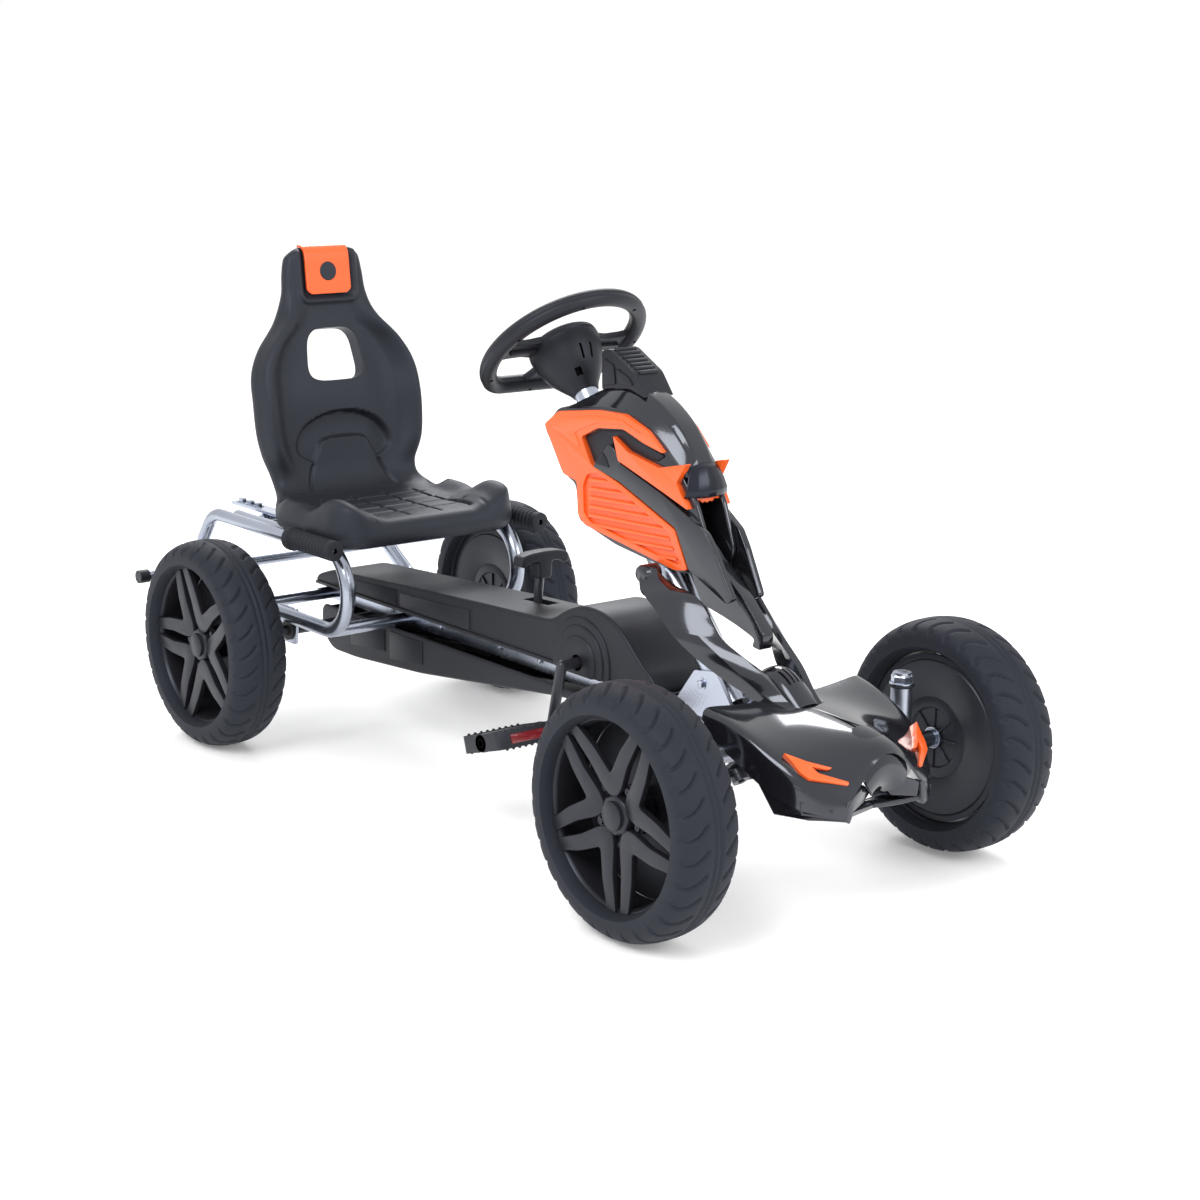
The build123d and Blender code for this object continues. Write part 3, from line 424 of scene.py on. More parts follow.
def tyre():
    """Barrel section with twin centre grooves, and hook shaped grooves down both shoulders."""
    hooks, cuts = 32, 18
    profile = []
    rows = 46
    for row in range(rows + 1):
        lean = pi * row / rows
        across = -cos(lean)
        bulge = abs(sin(lean)) ** 0.62
        profile.append(
            (abs(across) ** 0.86 * (1 if across > 0 else -1) * tyre_half,
            rim_radius + (tyre_radius - rim_radius) * bulge))
    middle = []
    for along, radius in profile:
        groove = min(abs(abs(along) - 5.0), 10)
        middle.append((along, radius - max(0.0, 3.0 - 1.6 * groove)))
    section = middle + [(32.0, 108.0), (-32.0, 108.0)]
    item = spun_on_x(section, hooks * cuts)
    hook = [(0.12, 13.0), (0.30, 17.5), (0.52, 24.0), (0.68, 31.0), (0.70, 36.0), (0.60, 38.6), (0.50, 37.0)]
    sector = 2 * pi / hooks
    pitch = sector * 140
    for point in item.data.vertices:
        along = point.co.x / MM
        radius = (point.co.y ** 2 + point.co.z ** 2) ** 0.5 / MM
        if abs(along) < 11 or radius < 118:
            continue
        turn = atan2(point.co.z, point.co.y) * (1 if along > 0 else -1)
        if along < 0:
            turn += sector / 2
        place = (turn % sector) / sector
        near = min(near_curve((place + shift) * pitch, abs(along), [(u * pitch, v) for u, v in hook])
                   for shift in (-1, 0, 1))
        depth = min(1.0, max(0.0, 1.6 - near / 1.7)) * 2.8
        if depth > 0:
            point.co.y *= (radius - depth) / radius
            point.co.z *= (radius - depth) / radius
    return item


def spoke_v():
    """One V of the wheel face: point at the hub, arms out to the rim."""
    def at(radius, degrees):
        return (0, radius * cos(radians(degrees)), radius * sin(radians(degrees)))
    corners = [at(110, 34.0), at(66, 29.5), at(34, 27), at(22, 16), at(22, -16), at(34, -27), at(66, -29.5),
               at(110, -34.0), at(110, -26.5), at(78, -17.0), at(47, 0), at(78, 17.0), at(110, 26.5)]
    item = slab(rounded(corners, 5, 3), (8.5, 0, 0))
    for point in item.data.vertices:
        reach = (point.co.y ** 2 + point.co.z ** 2) ** 0.5 / MM
        point.co.x += (15.0 + 7.0 * min(1.0, max(0.0, (reach - 22) / 80)) ** 0.8) * MM
    return soften(item, 2.2, 3)


def rim_faces(first):
    """Five spoke Vs, the lip, the hub collar with its cap, and five bolts."""
    parts = []
    for number in range(spoke_count):
        piece = copied(spoke_v_piece)
        parts.append(
            moved(piece, Matrix.Rotation(radians(first + spoke_pitch / 2 + spoke_pitch * number), 4, "X")))
    lip = spun_on_x(
        [(-31, 114.5), (31, 114.5), (31, 111.5), (29, 109.5), (27.5, 109), (27.5, 106.5), (25, 104.5),
        (22, 103.5), (-20, 103.5), (-26, 107), (-31, 110)], 96)
    parts.append(lip)
    collar = spun_on_x(
        [(-16, 9.2), (19, 9.2), (25.5, 9.2), (25.5, 21), (23.5, 23.5), (16, 25), (-16, 25)], 8)
    parts.append(soften(collar, 1.2, 2))
    cap = spun_on_x([(24, 0.05), (30.6, 0.05), (30.6, 14.5), (29.4, 16.4), (24, 16.8)], 48)
    parts.append(cap)
    for number in range(spoke_count):
        bolt = spun_on_x([(12, 0.05), (19, 0.05), (20.2, 2.4), (20.2, 4.2), (12, 4.6)], 6)
        turn = radians(first + spoke_pitch * number)
        there = Matrix.Translation((0, bolt_circle * cos(turn), bolt_circle * sin(turn)))
        parts.append(moved(bolt, there))
        seat = spun_on_x([(10, 4.9), (17, 4.9), (17, 7.6), (10, 8.2)], 20)
        parts.append(moved(seat, there))
    return joined(parts)


def back_disc():
    """Plain inner face: ring grooves, a recess with ribs round the bearing."""
    section = [
        (-22, 6.2), (-22, 104), (-25.9, 104), (-26.6, 98), (-25.4, 96.5), (-26.6, 95), (-26.6, 52),
        (-25.6, 50.5), (-26.6, 49), (-26.6, 38), (-24.4, 36), (-24.4, 13.5), (-27.6, 13.5), (-27.6, 6.2)]
    parts = [spun_on_x(section, 96)]
    for number in range(8):
        rib = slab([(-26.8, 12, -1.3), (-26.8, 37, -1.3), (-26.8, 37, 1.3), (-26.8, 12, 1.3)], (3, 0, 0))
        parts.append(moved(soften(rib, 0.5, 1), Matrix.Rotation(radians(45 * number), 4, "X")))
    valve = spun_on_x([(-29.5, 0.05), (-29.5, 2.6), (-28.6, 3.4), (-25, 3.6)], 16)
    parts.append(moved(valve, Matrix.Translation((0, 62 * MM, -42 * MM))))
    return joined(parts)


spoke_v_piece = spoke_v()
tyre_piece = tyre()
disc_piece = back_disc()
face_pieces = {"front": rim_faces(46), "rear": rim_faces(0)}
bearing_piece = spun_on_x(
    [(-28.6, 6.3), (-28.6, 8.6), (-28.0, 9.2), (-28.0, 11.2), (-28.6, 11.8), (-28.6, 13.2), (-24, 13.2),
    (-24, 6.3)], 48)
for end, place_x, place_y in (("front", front_wheel_x, front_y), ("rear", rear_wheel_x, rear_y)):
    for side, sign in SIDES.items():
        if end == "front":
            body = "front_" + side + "_wheel"
        else:
            body = "rear_left_wheel" if side == "left" else "rear_axle"
        set_there = Matrix.Translation((place_x, place_y, axle_height))
        for source, name, slot, nodes in (
                (tyre_piece, "tyre", "tyre_foam", (end + "_tyre_" + side,)),
                (face_pieces[end], "wheel_face", "wheel_plastic", (end + "_rim_" + side,)),
                (disc_piece, "wheel_back", "wheel_plastic", ()),
                (bearing_piece, "wheel_bearing", "zinc_steel", ())):
            piece = moved(copied(source), set_there)
            if sign < 0:
                piece = outward(moved(piece, Matrix.Scale(-1, 4, (1, 0, 0))))
            dress(piece, end + "_" + side + "_" + name, slot, body, nodes)
for spare in [spoke_v_piece, tyre_piece, disc_piece, bearing_piece] + list(face_pieces.values()):
    bpy.data.objects.remove(spare)


# ---------------------------------------------------------------- seat
def eased(part):
    """0 to 1, with a soft start and end."""
    part = max(0.0, min(1.0, part))
    return part * part * (3 - 2 * part)


def swell(distance, reach):
    """1 at the middle, falling softly to 0 at the reach."""
    return eased(1 - abs(distance) / reach)


def flowing(points, steps):
    """A smooth run through points, with this many steps between each two."""
    made = []
    for number in range(len(points) - 1):
        a, b, c, d = (
            Vector(points[max(0, min(len(points) - 1, number + shift))]) for shift in (-1, 0, 1, 2))
        for step in range(steps):
            t = step / steps
            made.append(0.5 * (2 * b + (c - a) * t + (2 * a - 5 * b + 4 * c - d) * t * t
                               + (3 * b - a - 3 * c + d) * t ** 3))
    return made + [Vector(points[-1])]


# down the front of the back rest and out along the pan: behind the rear axle, height, half width, thickness
seat_line = [
    (104, 679, 52, 22), (99, 664, 61, 24), (96, 640, 66, 25), (92, 610, 70, 25), (88, 575, 85, 26),
    (80, 538, 117, 26), (71, 504, 134, 26), (60, 465, 138, 26), (54, 420, 137, 26), (50, 388, 131, 25),
    (44, 362, 122, 24), (34, 345, 122, 23), (16, 334, 136, 21), (-6, 329.5, 149, 20), (-36, 327.5, 154, 20),
    (-80, 327, 155, 20), (-120, 327, 155, 20), (-158, 327, 155, 20), (-184, 324, 154, 20)]
opening_top, opening_foot, opening_share = 561.0, 487.0, 0.37


def seat_relief(x, along, z, half):
    """How far the moulding stands proud of its plain line: bolsters, arch, tongue, rim, mounds, grooves."""
    proud = 0.0
    side = abs(x)
    if z > 336:
        edge = half - side
        proud += 17 * swell(edge - 15, 30) * eased((622 - z) / 70) * eased((z - 340) / 60)
        proud -= 3.0 * swell(side - half * 0.55, 34) * eased((560 - z) / 60)
        tall = 52 if z > 394 else 28
        arch = 1.0 - ((x / 82) ** 2 + ((z - 394) / tall) ** 2) ** 0.5
        tongue_half = 38 + 0.5 * max(0.0, 404 - z)
        tongue = eased((tongue_half - side) / 3.2 + 0.5) * eased(
            (407 - 9 * (side / 44) ** 4 - z) / 3.2 + 0.5)
        proud -= 13 * eased(arch * 11) * (1 - tongue) * (0.55 + 0.45 * eased((z - 380) / 50))
        if z < 376:
            proud -= 4.5 * swell(side - tongue_half, 4.5) * eased((376 - z) / 8)
        rest = (max(side - 34, 0) ** 2 + max(613 - z, 0) ** 2) ** 0.5 - 6
        proud += 6.0 * swell(rest - 6.5, 7) if z > 586 else 0.0
        proud -= 1.5 * eased(-rest / 3) if z > 586 else 0.0
    pan = eased((352 - z) / 14) if z < 352 else 0.0
    if pan:
        proud += pan * 19 * swell(((side - 120) ** 2 + ((along + 138) * 0.72) ** 2) ** 0.5, 56)
        proud += pan * 12 * swell(side - 136, 34) * (1 - 0.55 * swell(along + 84,
            40)) * eased((20 - along) / 40)
        if side < 92 and -158 < along < -2:
            fade = eased((158 + along) / 6) * eased((-2 - along) / 6) * eased((92 - side) / 5)
            proud -= 4.2 * pan * fade * max(swell(side - 27, 3.4), swell(side - 78, 3.4))
            proud -= 3.4 * pan * fade * max(swell(along - line, 3.4) for line in (-22, -56, -90, -124))
        proud -= 16 * pan * swell(((side - 126) ** 2 + ((along + 2) / 2.0) ** 2) ** 0.5, 12)
        proud -= 2.2 * pan * swell(side - 94, 2.4) * eased((-150 - along) / 12)
    return proud


def seat_body():
    """The moulded seat as one closed skin, with its opening cut from grid lines and bridged."""
    columns, steps = 128, 14
    line = flowing(seat_line, steps)
    spread = [
        0.55 * (2 * n / columns - 1) + 0.45 * sin(pi / 2 * (2 * n / columns - 1))
        for n in range(columns + 1)]
    lengths = [0.0]
    for before, after in zip(line, line[1:]):
        lengths.append(lengths[-1] + ((after[0] - before[0]) ** 2 + (after[1] - before[1]) ** 2) ** 0.5)
    first = min(range(len(line)), key=lambda n: abs(line[n][1] - opening_top))
    last = min(range(len(line)), key=lambda n: abs(line[n][1] - opening_foot))
    left = min(range(columns + 1), key=lambda n: abs(spread[n] + opening_share))
    right = columns - left
    middle_z = (line[first][1] + line[last][1]) / 2
    tall = (line[first][1] - line[last][1]) / 2
    rows = []
    for number, (along, z, half, thick) in enumerate(line):
        before, after = line[max(0, number - 1)], line[min(len(line) - 1, number + 1)]
        run = Vector((after[0] - before[0], after[1] - before[1])).normalized()
        to_end = lengths[-1] - lengths[number]
        to_top = lengths[number]
        near, corner = (to_end, 50.0) if to_end < to_top else (to_top, 16.0)
        narrow = corner * (1 - (1 - (1 - min(1.0, near / corner)) ** 2) ** 0.5)
        pan = eased((344 - z) / 14)
        front, back = [], []
        for share in spread:
            x = share * (half - narrow)
            place_along, place_z = along, z
            across, up = share / -spread[left], (z - middle_z) / tall
            reach = max(abs(across), abs(up))
            if reach < 2.2:
                fade = 1.0 if reach < 1 else eased((2.2 - reach) / 1.2)
                curve = (abs(across) ** 4 + abs(up) ** 4) ** 0.25
                pull = 1 + (reach / curve - 1) * fade if curve > 0 else 1.0
                wide = 45 - 4.5 * up
                x *= pull * (1 + (wide / (-spread[left] * half) - 1) * fade)
                place_z = middle_z + (z - middle_z) * pull
                place_along += (place_z - z) * run[0] / run[1]
            side = abs(x)
            if side > half - corner and near < corner:
                edge = corner - ((side - half + corner) ** 2 + (corner - near) ** 2) ** 0.5
            else:
                edge = min(half - side, near)
            edge = max(0.0, edge)
            full = thick + pan * (38 - thick) * eased((28 - edge) / 8)
            radius = (thick + pan * (38 - thick)) / 2
            fold = radius * (1 - (1 - (1 - min(1.0, edge / radius)) ** 2) ** 0.5)
            proud = seat_relief(x, place_along, place_z, half) * eased(edge / 9)
            for sheet, depth in ((front, fold - proud), (back, full - fold)):
                sheet.append((x, tail(place_along - run[1] * depth), place_z + run[0] * depth))
        rows.append(front + list(reversed(back)))
    bpy.ops.object.select_all(action="DESELECT")
    wide = len(rows[0])
    bpy.ops.mesh.primitive_grid_add(x_subdivisions=wide - 1, y_subdivisions=len(rows) - 1, size=1)
    item = bpy.context.active_object
    for point, place in zip(item.data.vertices, [p for row in rows for p in row]):
        point.co = Vector(place) * MM
    for patch in item.data.polygons:
        row, column = min(patch.vertices) // wide, min(patch.vertices) % wide
        mirrored = 2 * columns - column
        in_front, behind = left <= column < right, left <= mirrored < right
        patch.select = first <= row < last and (in_front or behind)
    for kind in (item.data.edges, item.data.vertices):
        for part in kind:
            part.select = False
    only(item)
    bpy.ops.object.mode_set(mode="EDIT")
    bpy.ops.mesh.select_mode(type="FACE")
    bpy.ops.mesh.delete(type="FACE")
    bpy.ops.mesh.select_all(action="SELECT")
    bpy.ops.mesh.remove_doubles(threshold=0.00005)
    bpy.ops.mesh.select_mode(type="EDGE")
    bpy.ops.mesh.select_all(action="DESELECT")
    bpy.ops.mesh.select_non_manifold()
    bpy.ops.mesh.bridge_edge_loops(number_cuts=6)
    leave()
    outward(item)
    return soften(item, 3.2, 4, 62)


def headrest_cover():
    """Coloured pad let into the front and wrapped over the top."""
    line = flowing(seat_line[:5], 8)
    line = [p for p in line if 609 < p[1] < 668]
    rows = []
    top, under = line[0], line[1]
    run = Vector((under[0] - top[0], under[1] - top[1])).normalized()
    behind = Vector((-run[1], run[0]))
    centre = Vector((top[0], top[1])) + behind * 11
    path = [(Vector((p[0], p[1])) - behind * 1.5, behind) for p in reversed(line)]
    for step in range(1, 13):
        lean = radians(step * 8.6)
        way = behind * cos(lean) + run * sin(lean)
        path.append((centre - way * 12.5, way))
    travelled = 0.0
    for number, (place, way) in enumerate(path):
        if number:
            travelled += (place - path[number - 1][0]).length
        cut = max(0.0, 8 - travelled)
        half = 37.0 - 8 * (1 - (1 - (cut / 8) ** 2) ** 0.5)
        rows.append([(x * half, tail(place[0]), place[1]) for x in [n / 12 for n in range(-12, 13)]])
    item = lofted(rows, 1, 0)
    modify(item, "SOLIDIFY", thickness=3.6 * MM, offset=1)
    outward(item)
    return soften(item, 1.2, 3, 50)


dress(seat_body(), "moulded_seat", "seat_plastic", "seat", ("seat_shell",), 48)
dress(headrest_cover(), "headrest_cover", "orange_plastic", "seat", ("headrest_insert",), 50)
button = turned([(2, 0.05), (-7.4, 0.05), (-7.2, 12.4), (-6.2, 13.6), (2, 13.6)],
                (0, tail(97), 642), (0, 1, -0.12), (1, 0, 0), 48)
dress(button, "headrest_boss", "seat_plastic", "seat", ("headrest_button",))


# ---------------------------------------------------------------- fairing
def leaning(distance, z, half, taper, start, raised):
    """A point on the fairing's side, which narrows towards the nose."""
    tilt = atan2(taper, 1)
    return (half + taper * (distance - start) + raised * cos(tilt), nose(distance) - raised * sin(tilt), z)


def leaning_slab(outline, raised, thick, cut=5.0, half=42.0, taper=25 / 240, start=401.4):
    """A slab lying on the fairing's side, raised off it and this thick."""
    tilt = atan2(taper, 1)
    corners = [leaning(d, z, half, taper, start, raised) for d, z in rounded(outline, cut)]
    return slab(corners, (cos(tilt) * thick, -sin(tilt) * thick, 0))


def pair(item, name, slot, nodes=(), angle=38):
    """A left piece and its mirror image, both on the frame."""
    twin = opposite(item)
    dress(item, name + "_left", slot, "frame", [n for n in nodes if not n.endswith("_right")], angle)
    dress(twin, name + "_right", slot, "frame", [n for n in nodes if n.endswith("_right")], angle)


side_frame = leaning_slab(
    [(426, 496), (400, 524), (323, 533), (279, 534), (238, 519), (208, 493), (190, 470), (164, 436),
    (140, 380), (150, 352), (190, 349), (247, 356.5), (299, 366), (363, 387), (369, 432), (387, 440)], 0,
    7.5, 8)
soften(side_frame, 2.4, 3)
pair(side_frame, "fairing_frame", "gloss_black", ("fairing_side_left", "fairing_side_right"))

panel = leaning_slab(
    [(417, 502), (392, 521), (323, 530), (279, 530), (240, 514.5), (211, 490.5), (243, 498.6), (279, 512),
    (323, 508), (351, 494), (334, 462), (285, 445), (191, 402), (169, 356), (190, 353), (344, 385),
    (356, 396.5), (358, 437.5), (383, 444)], 7, 8.5, 4.5)
pocket = leaning_slab([(322, 453), (284, 437), (202, 398), (181, 362), (190, 361), (334, 390), (345, 400),
                       (347, 434), (340, 449)], 10.5, 14, 4)
carve(panel, [pocket])
slats = []
for number in range(8):
    z = 366.0 + 11.0 * number
    rear_end = min(338.0, 205 + (z - 362) * 5.2)
    front_end = 186 + (z - 362) * 0.5 if z < 398 else 204 + (z - 398) * 2.12
    slat = leaning_slab(
        [(front_end, z - 0.6), (rear_end, z - 3.4), (rear_end, z + 1.0), (front_end, z + 2.2)], 9.5, 5.0,
        0.6)
    slats.append(soften(slat, 0.8, 2))
rib_frame = leaning_slab([(352, 480), (384, 494), (401, 499), (388, 514), (322, 523), (281, 523), (246, 510),
                          (281, 518.5), (323, 515.5), (361, 499)], 15, 1.4, 4)
soften(rib_frame, 0.9, 2)
soften(panel, 1.7, 3, 34)
pair(
    joined([panel, rib_frame] + slats), "coloured_panel", "orange_plastic",
    ("orange_panel_left", "orange_panel_right"))

eye = leaning_slab([(348, 493), (323, 505.5), (280, 509.5), (244, 496.5), (214, 487), (228, 478), (270, 488),
                    (296, 502), (300, 490), (329, 461)], 7, 3.2, 4)
soften(eye, 0.9, 2)
pair(eye, "eye_panel", "cover_plastic")
blade = leaning_slab([(330, 459.5), (303, 491), (294, 487), (284, 470), (213, 442.5), (174, 424), (140, 405),
                      (126, 386), (99, 339), (96, 332), (105, 326), (147, 347), (167, 357.5), (189, 404),
                      (284, 447)], 7, 9, 4)
soften(blade, 2.8, 4)
pair(blade, "blade_strip", "gloss_black")
notch = leaning_slab([(326, 465), (312, 480), (306, 474), (300, 462)], 15.5, 1.6, 2)
soften(notch, 0.6, 2)
pair(notch, "blade_boss", "cover_plastic")

fang = leaning_slab([(295, 502), (271, 486), (218, 473), (173, 483), (189, 458), (169, 429), (213, 446),
                     (286, 473)], 7, 9.5, 2.2)
soften(fang, 2.2, 3)
twin = opposite(fang)
dress(joined([fang, twin]), "fang_blades", "orange_plastic", "frame", ("fang_strips",))


def hood():
    """Hood with a crease each side and a flat crown, falling to a blunt front lip."""
    stations = [
        (404, 519, 520, 522, 42, 25, 14), (388, 523, 528, 531, 42, 25, 14), (360, 528, 540, 544, 40, 24, 14),
        (325, 532, 550, 555, 37.5, 23, 14), (290, 532.5, 551.5, 557.5, 35, 22, 13.5),
        (252, 523, 538, 546, 31.5, 20, 13), (216, 499, 516, 524, 28.5, 18, 12),
        (192, 479, 492, 499, 26.5, 16.5, 11), (181, 470, 478, 482, 25.5, 15.5, 10.5)]
    rows = []
    flow = [
        list(p) + list(q)[1:] for p, q in zip(flowing([s[:4] for s in stations], 6),
        flowing([(s[0],) + s[4:] for s in stations], 6))]
    for d, low, crease, top, wide, mid, crown in flow:
        half = [
            (wide, low - 4), (wide, low), (wide - 1.2, low + 1.2), (mid + 1.2, crease - 1.0), (mid, crease),
            (mid - 1.4, crease + 0.9), (crown + 1.2, top - 0.9), (crown, top), (crown - 1.4, top + 0.1),
            (0, top + 0.9)]
        rows.append([(-x, nose(d), z) for x, z in half] + [(x, nose(d), z) for x, z in reversed(half[:-1])])
    lip = [(x * 0.94, nose(179.5), min(z, 474)) for x, y, z in rows[-1]]
    return lofted(rows + [lip], 0, 2.2)


crown = hood()
dress(crown, "front_hood", "gloss_black", "frame", ("fairing_hood",), 30)

console = slab(
    [(-23, nose(d), z) for d, z in rounded(((346, 549), (347, 597), (333, 602), (285, 577), (262, 548.5),
    (292, 557), (333, 553)), 5)], (46, 0, 0))
soften(console, 2.6, 3)
ribs = [console]
for number in range(7):
    part = number / 6
    d, z = 330 - 44 * part, 601.0 - 23 * part
    rib = slab([(-17 + 2 * part, nose(d), z - 1), (17 - 2 * part, nose(d), z - 1),
                (17 - 2 * part, nose(d), z + 2.0), (-17 + 2 * part, nose(d), z + 2.0)], (0, -3.4, -1.8))
    ribs.append(soften(rib, 0.8, 2))
for sign in (1, -1):
    for outline in (((341, 556), (341, 590), (322, 583), (318, 560)), ((314, 562), (317, 580), (292, 571),
                                                                       (284, 562))):
        step = slab([(sign * 22.4, nose(d), z) for d, z in rounded(outline, 3)], (sign * 2.6, 0, 0))
        ribs.append(soften(step, 0.9, 2))
dress(joined(ribs), "dash_box", "cover_plastic", "frame", ("dash_console",))

lamp_rows = [
    (17, 188, 7, 480), (21, 181, 9, 475), (27, 176, 10, 462), (31, 174, 11, 450), (32, 175, 11, 444),
    (30, 182, 8, 441)]
lamp = lofted(
    [[(x * w, nose(d - bow * (1 - x * x)), z) for x in (-1, -0.96, -0.62, -0.58, -0.2, -0.16, 0.16, 0.2,
    0.58, 0.62, 0.96, 1)] for w, d, bow, z in lamp_rows], 0, 2.5)
dress(soften(lamp, 0.7, 2, 20), "front_lamp_lens", "smoked_lens", "frame", ("headlight_lens",), 30)
mouth = slab(
    [(x, nose(171), z) for x, z in rounded(((-21, 443), (21, 443), (18, 437), (11, 438.5), (8, 434.5),
    (3, 436), (0, 433.5), (-3, 436), (-8, 434.5), (-11, 438.5), (-18, 437)), 1.4)], (0, 14, 0))
dress(soften(mouth, 1.1, 2), "lamp_mouth", "orange_plastic", "frame")


# ---------------------------------------------------------------- fairing legs
leg_edges = [
    ((45, 196, 345), (60, 213, 357)), ((45, 170, 338), (68, 214, 340)), ((45, 135, 332), (73, 198, 326)),
    ((45, 109, 309), (76, 172, 312)), ((44, 89, 290), (76, 143, 290)), ((38, 60, 274), (66, 116, 268)),
    ((32, 31, 257), (50, 85, 246)), ((24, 2, 235), (38, 45, 229)), ((20, -19, 222), (31, -6, 220))]


def strap():
    """Leg as a strap lying across, creased along its length, from the fairing down to the nose."""
    inner = flowing([pair[0] for pair in leg_edges], 5)
    outer = flowing([pair[1] for pair in leg_edges], 5)
    rows = []
    for number, (near, far) in enumerate(zip(inner, outer)):
        before, after = inner[max(0, number - 1)], inner[min(len(inner) - 1, number + 1)]
        up = (far - near).cross(after - before).normalized()
        if up[2] < 0:
            up = -up
        fold = near * 0.55 + far * 0.45 + up * 4.5
        loop = [near, fold, far, far - up * 8, near * 0.55 + far * 0.45 - up * 6, near - up * 8, near]
        rows.append([(x, nose(d), z) for x, d, z in loop])
    item = outward(lofted(rows, 0, 0))
    edit(item)
    bpy.ops.mesh.fill_holes(sides=0)
    leave()
    return soften(outward(item), 2.2, 3, 24)


leg = strap()
knob = turned(
    [(0, 0.05), (0, 11), (22, 11), (24.5, 9.5), (25.5, 7), (25.5, 0.05)], (40, nose(216), 347), (1, 0, 0),
    (0, 0, 1), 40)
leg = joined([leg, knob])
other = opposite(leg)
keel = slab(
    [(-8, nose(d), z) for d, z in rounded(((218, 428), (196, 408), (166, 388), (149, 373), (119, 350),
    (95, 333), (74, 313), (59, 297), (58.5, 288), (62, 276), (78, 278), (74, 287), (79, 290), (105, 298),
    (129, 304), (168, 312), (180, 330), (206, 380)), 4, 3)], (16, 0, 0))
soften(keel, 3.4, 4, 34)


def dome():
    """Small hooded dome between the feet, with slots on its front."""
    rows = []
    for d, top, wide in (
            (70, 228, 24), (66, 244, 25), (54, 257, 25), (38, 261, 24), (20, 256, 22), (4, 243, 19),
            (-9, 231, 16), (-13, 226, 14)):
        rows.append([(x * wide, nose(d), 222 + (top - 222) * (max(0.0, 1 - abs(x) ** 2.6)) ** 0.5)
                     for x in (-1, -0.94, -0.75, -0.4, 0, 0.4, 0.75, 0.94, 1)])
    shape = lofted(rows, 2, 3)
    slots = []
    for number in range(4):
        x = -9.6 + 6.4 * number
        slots.append(slab([(x - 1.3, nose(30), 270), (x + 1.3, nose(30), 270), (x + 1.3, nose(8), 270),
                           (x - 1.3, nose(8), 270)], (0, 0, -30)))
    return carve(shape, slots)


dress(joined([leg, other, keel, dome()]), "leg_frame", "gloss_black", "frame", ("fairing_legs",), 34)


# ---------------------------------------------------------------- nose
def nose_skin():
    """Broad hawk shaped deck: a raised bonnet, sloping shoulders and swept outer wings."""
    stations = [
        (30, (0, 224.5), (34, 224), (60, 225), (88, 228), (118, 232), (122, 229), (123, 206)),
        (4, (0, 224), (34, 222.5), (60, 222), (88, 224), (117, 228), (121, 225), (122, 198)),
        (-30, (0, 223), (34, 220), (60, 216), (88, 215), (114, 218), (118, 215), (119, 182)),
        (-62, (0, 221), (33, 216), (58, 210), (84, 205), (110, 203), (114, 199), (115, 164)),
        (-92, (0, 219), (31, 213), (54, 204), (78, 195), (102, 186), (106, 182), (108, 150)),
        (-116, (0, 216.5), (28, 209), (48, 196), (69, 183), (87, 171), (91, 167), (94, 143)),
        (-134, (0, 211), (24, 203), (42, 187), (58, 172), (70, 160), (73, 157), (77, 139)),
        (-141.2, (0, 203), (20, 195), (35, 179), (48, 164), (58, 153), (60, 150), (62, 136)),
    ]
    rows = []
    for d, *half in stations:
        rows.append([(-x, nose(d), z) for x, z in reversed(half)] + [(x, nose(d), z) for x, z in half[1:]])
    return lofted(rows, 2, 3.2)


nose_parts = [nose_skin()]
for sign in (1, -1):
    fender = nose_slab(
        ((104, 22, 231), (122, 22, 231), (119, -30, 214), (112, -72, 192), (104, -96, 176), (100, -92, 180),
        (104, -60, 200)), (0, 0, -5), sign)
    nose_parts.append(soften(fender, 1.6, 3))
    cheek = nose_slab(
        ((118, -46, 180), (111, -78, 134), (90, -112, 133), (62, -142, 132), (61, -144, 152),
        (76, -136, 158), (104, -104, 172)), (sign * -6, 7, 0), sign)
    nose_parts.append(soften(cheek, 1.8, 3))
    post = slab(
        [(sign * x, nose(-143.6), z) for x, z in rounded(((52, 160), (63, 156), (64, 134), (58, 130),
        (54, 138)), 2.5)], (0, 10, 0))
    nose_parts.append(soften(post, 1.8, 3))
    chin = nose_slab(
        ((60, -143, 136), (34, -126, 130), (0, -122, 131), (0, -104, 131), (60, -104, 136)), (0, 0, 6), sign)
    nose_parts.append(soften(chin, 1.5, 2))
    intake = nose_slab(
        ((99, -106, 156), (74, -134, 148), (76, -133, 138), (98, -108, 140)), (sign * 2.6, -2.6, 0), sign)
    inner = nose_slab(
        ((95, -106, 153), (78, -125, 146), (79, -124, 141), (94, -107, 143)), (sign * 14, -14, 0), sign)
    nose_parts.append(soften(carve(intake, [inner]), 0.6, 2))
beak = lofted([[(x * w, nose(d), z - drop * abs(x) ** 2.2) for x in (-1, -0.7, -0.35, 0, 0.35, 0.7, 1)]
               for w, d, z, drop in ((12, -96, 219.5, 2), (26, -112, 217, 9), (33, -128, 210, 18),
                                     (34, -136.5, 198, 22), (29, -140.5, 182, 18), (20, -136.5, 166, 10),
                                     (10, -126, 156, 3))], 2, 3)
nose_parts.append(beak)
for sign in (1, -1):
    jaw = nose_slab(
        ((54, -142, 158), (30, -137, 168), (12, -128, 154), (22, -128, 144), (52, -140, 140)), (0, 9, 0),
        sign)
    nose_parts.append(soften(jaw, 1.8, 3))
crest = nose_slab(((-2.0, -6, 224.6), (2.0, -6, 224.6), (1.2, -98, 220.6), (-1.2, -98, 220.6)), (0, 0, 1.8))
nose_parts.append(soften(crest, 0.8, 2))
dress(joined(nose_parts), "nose_cowl", "gloss_black", "frame", ("nose_shell",), 32)

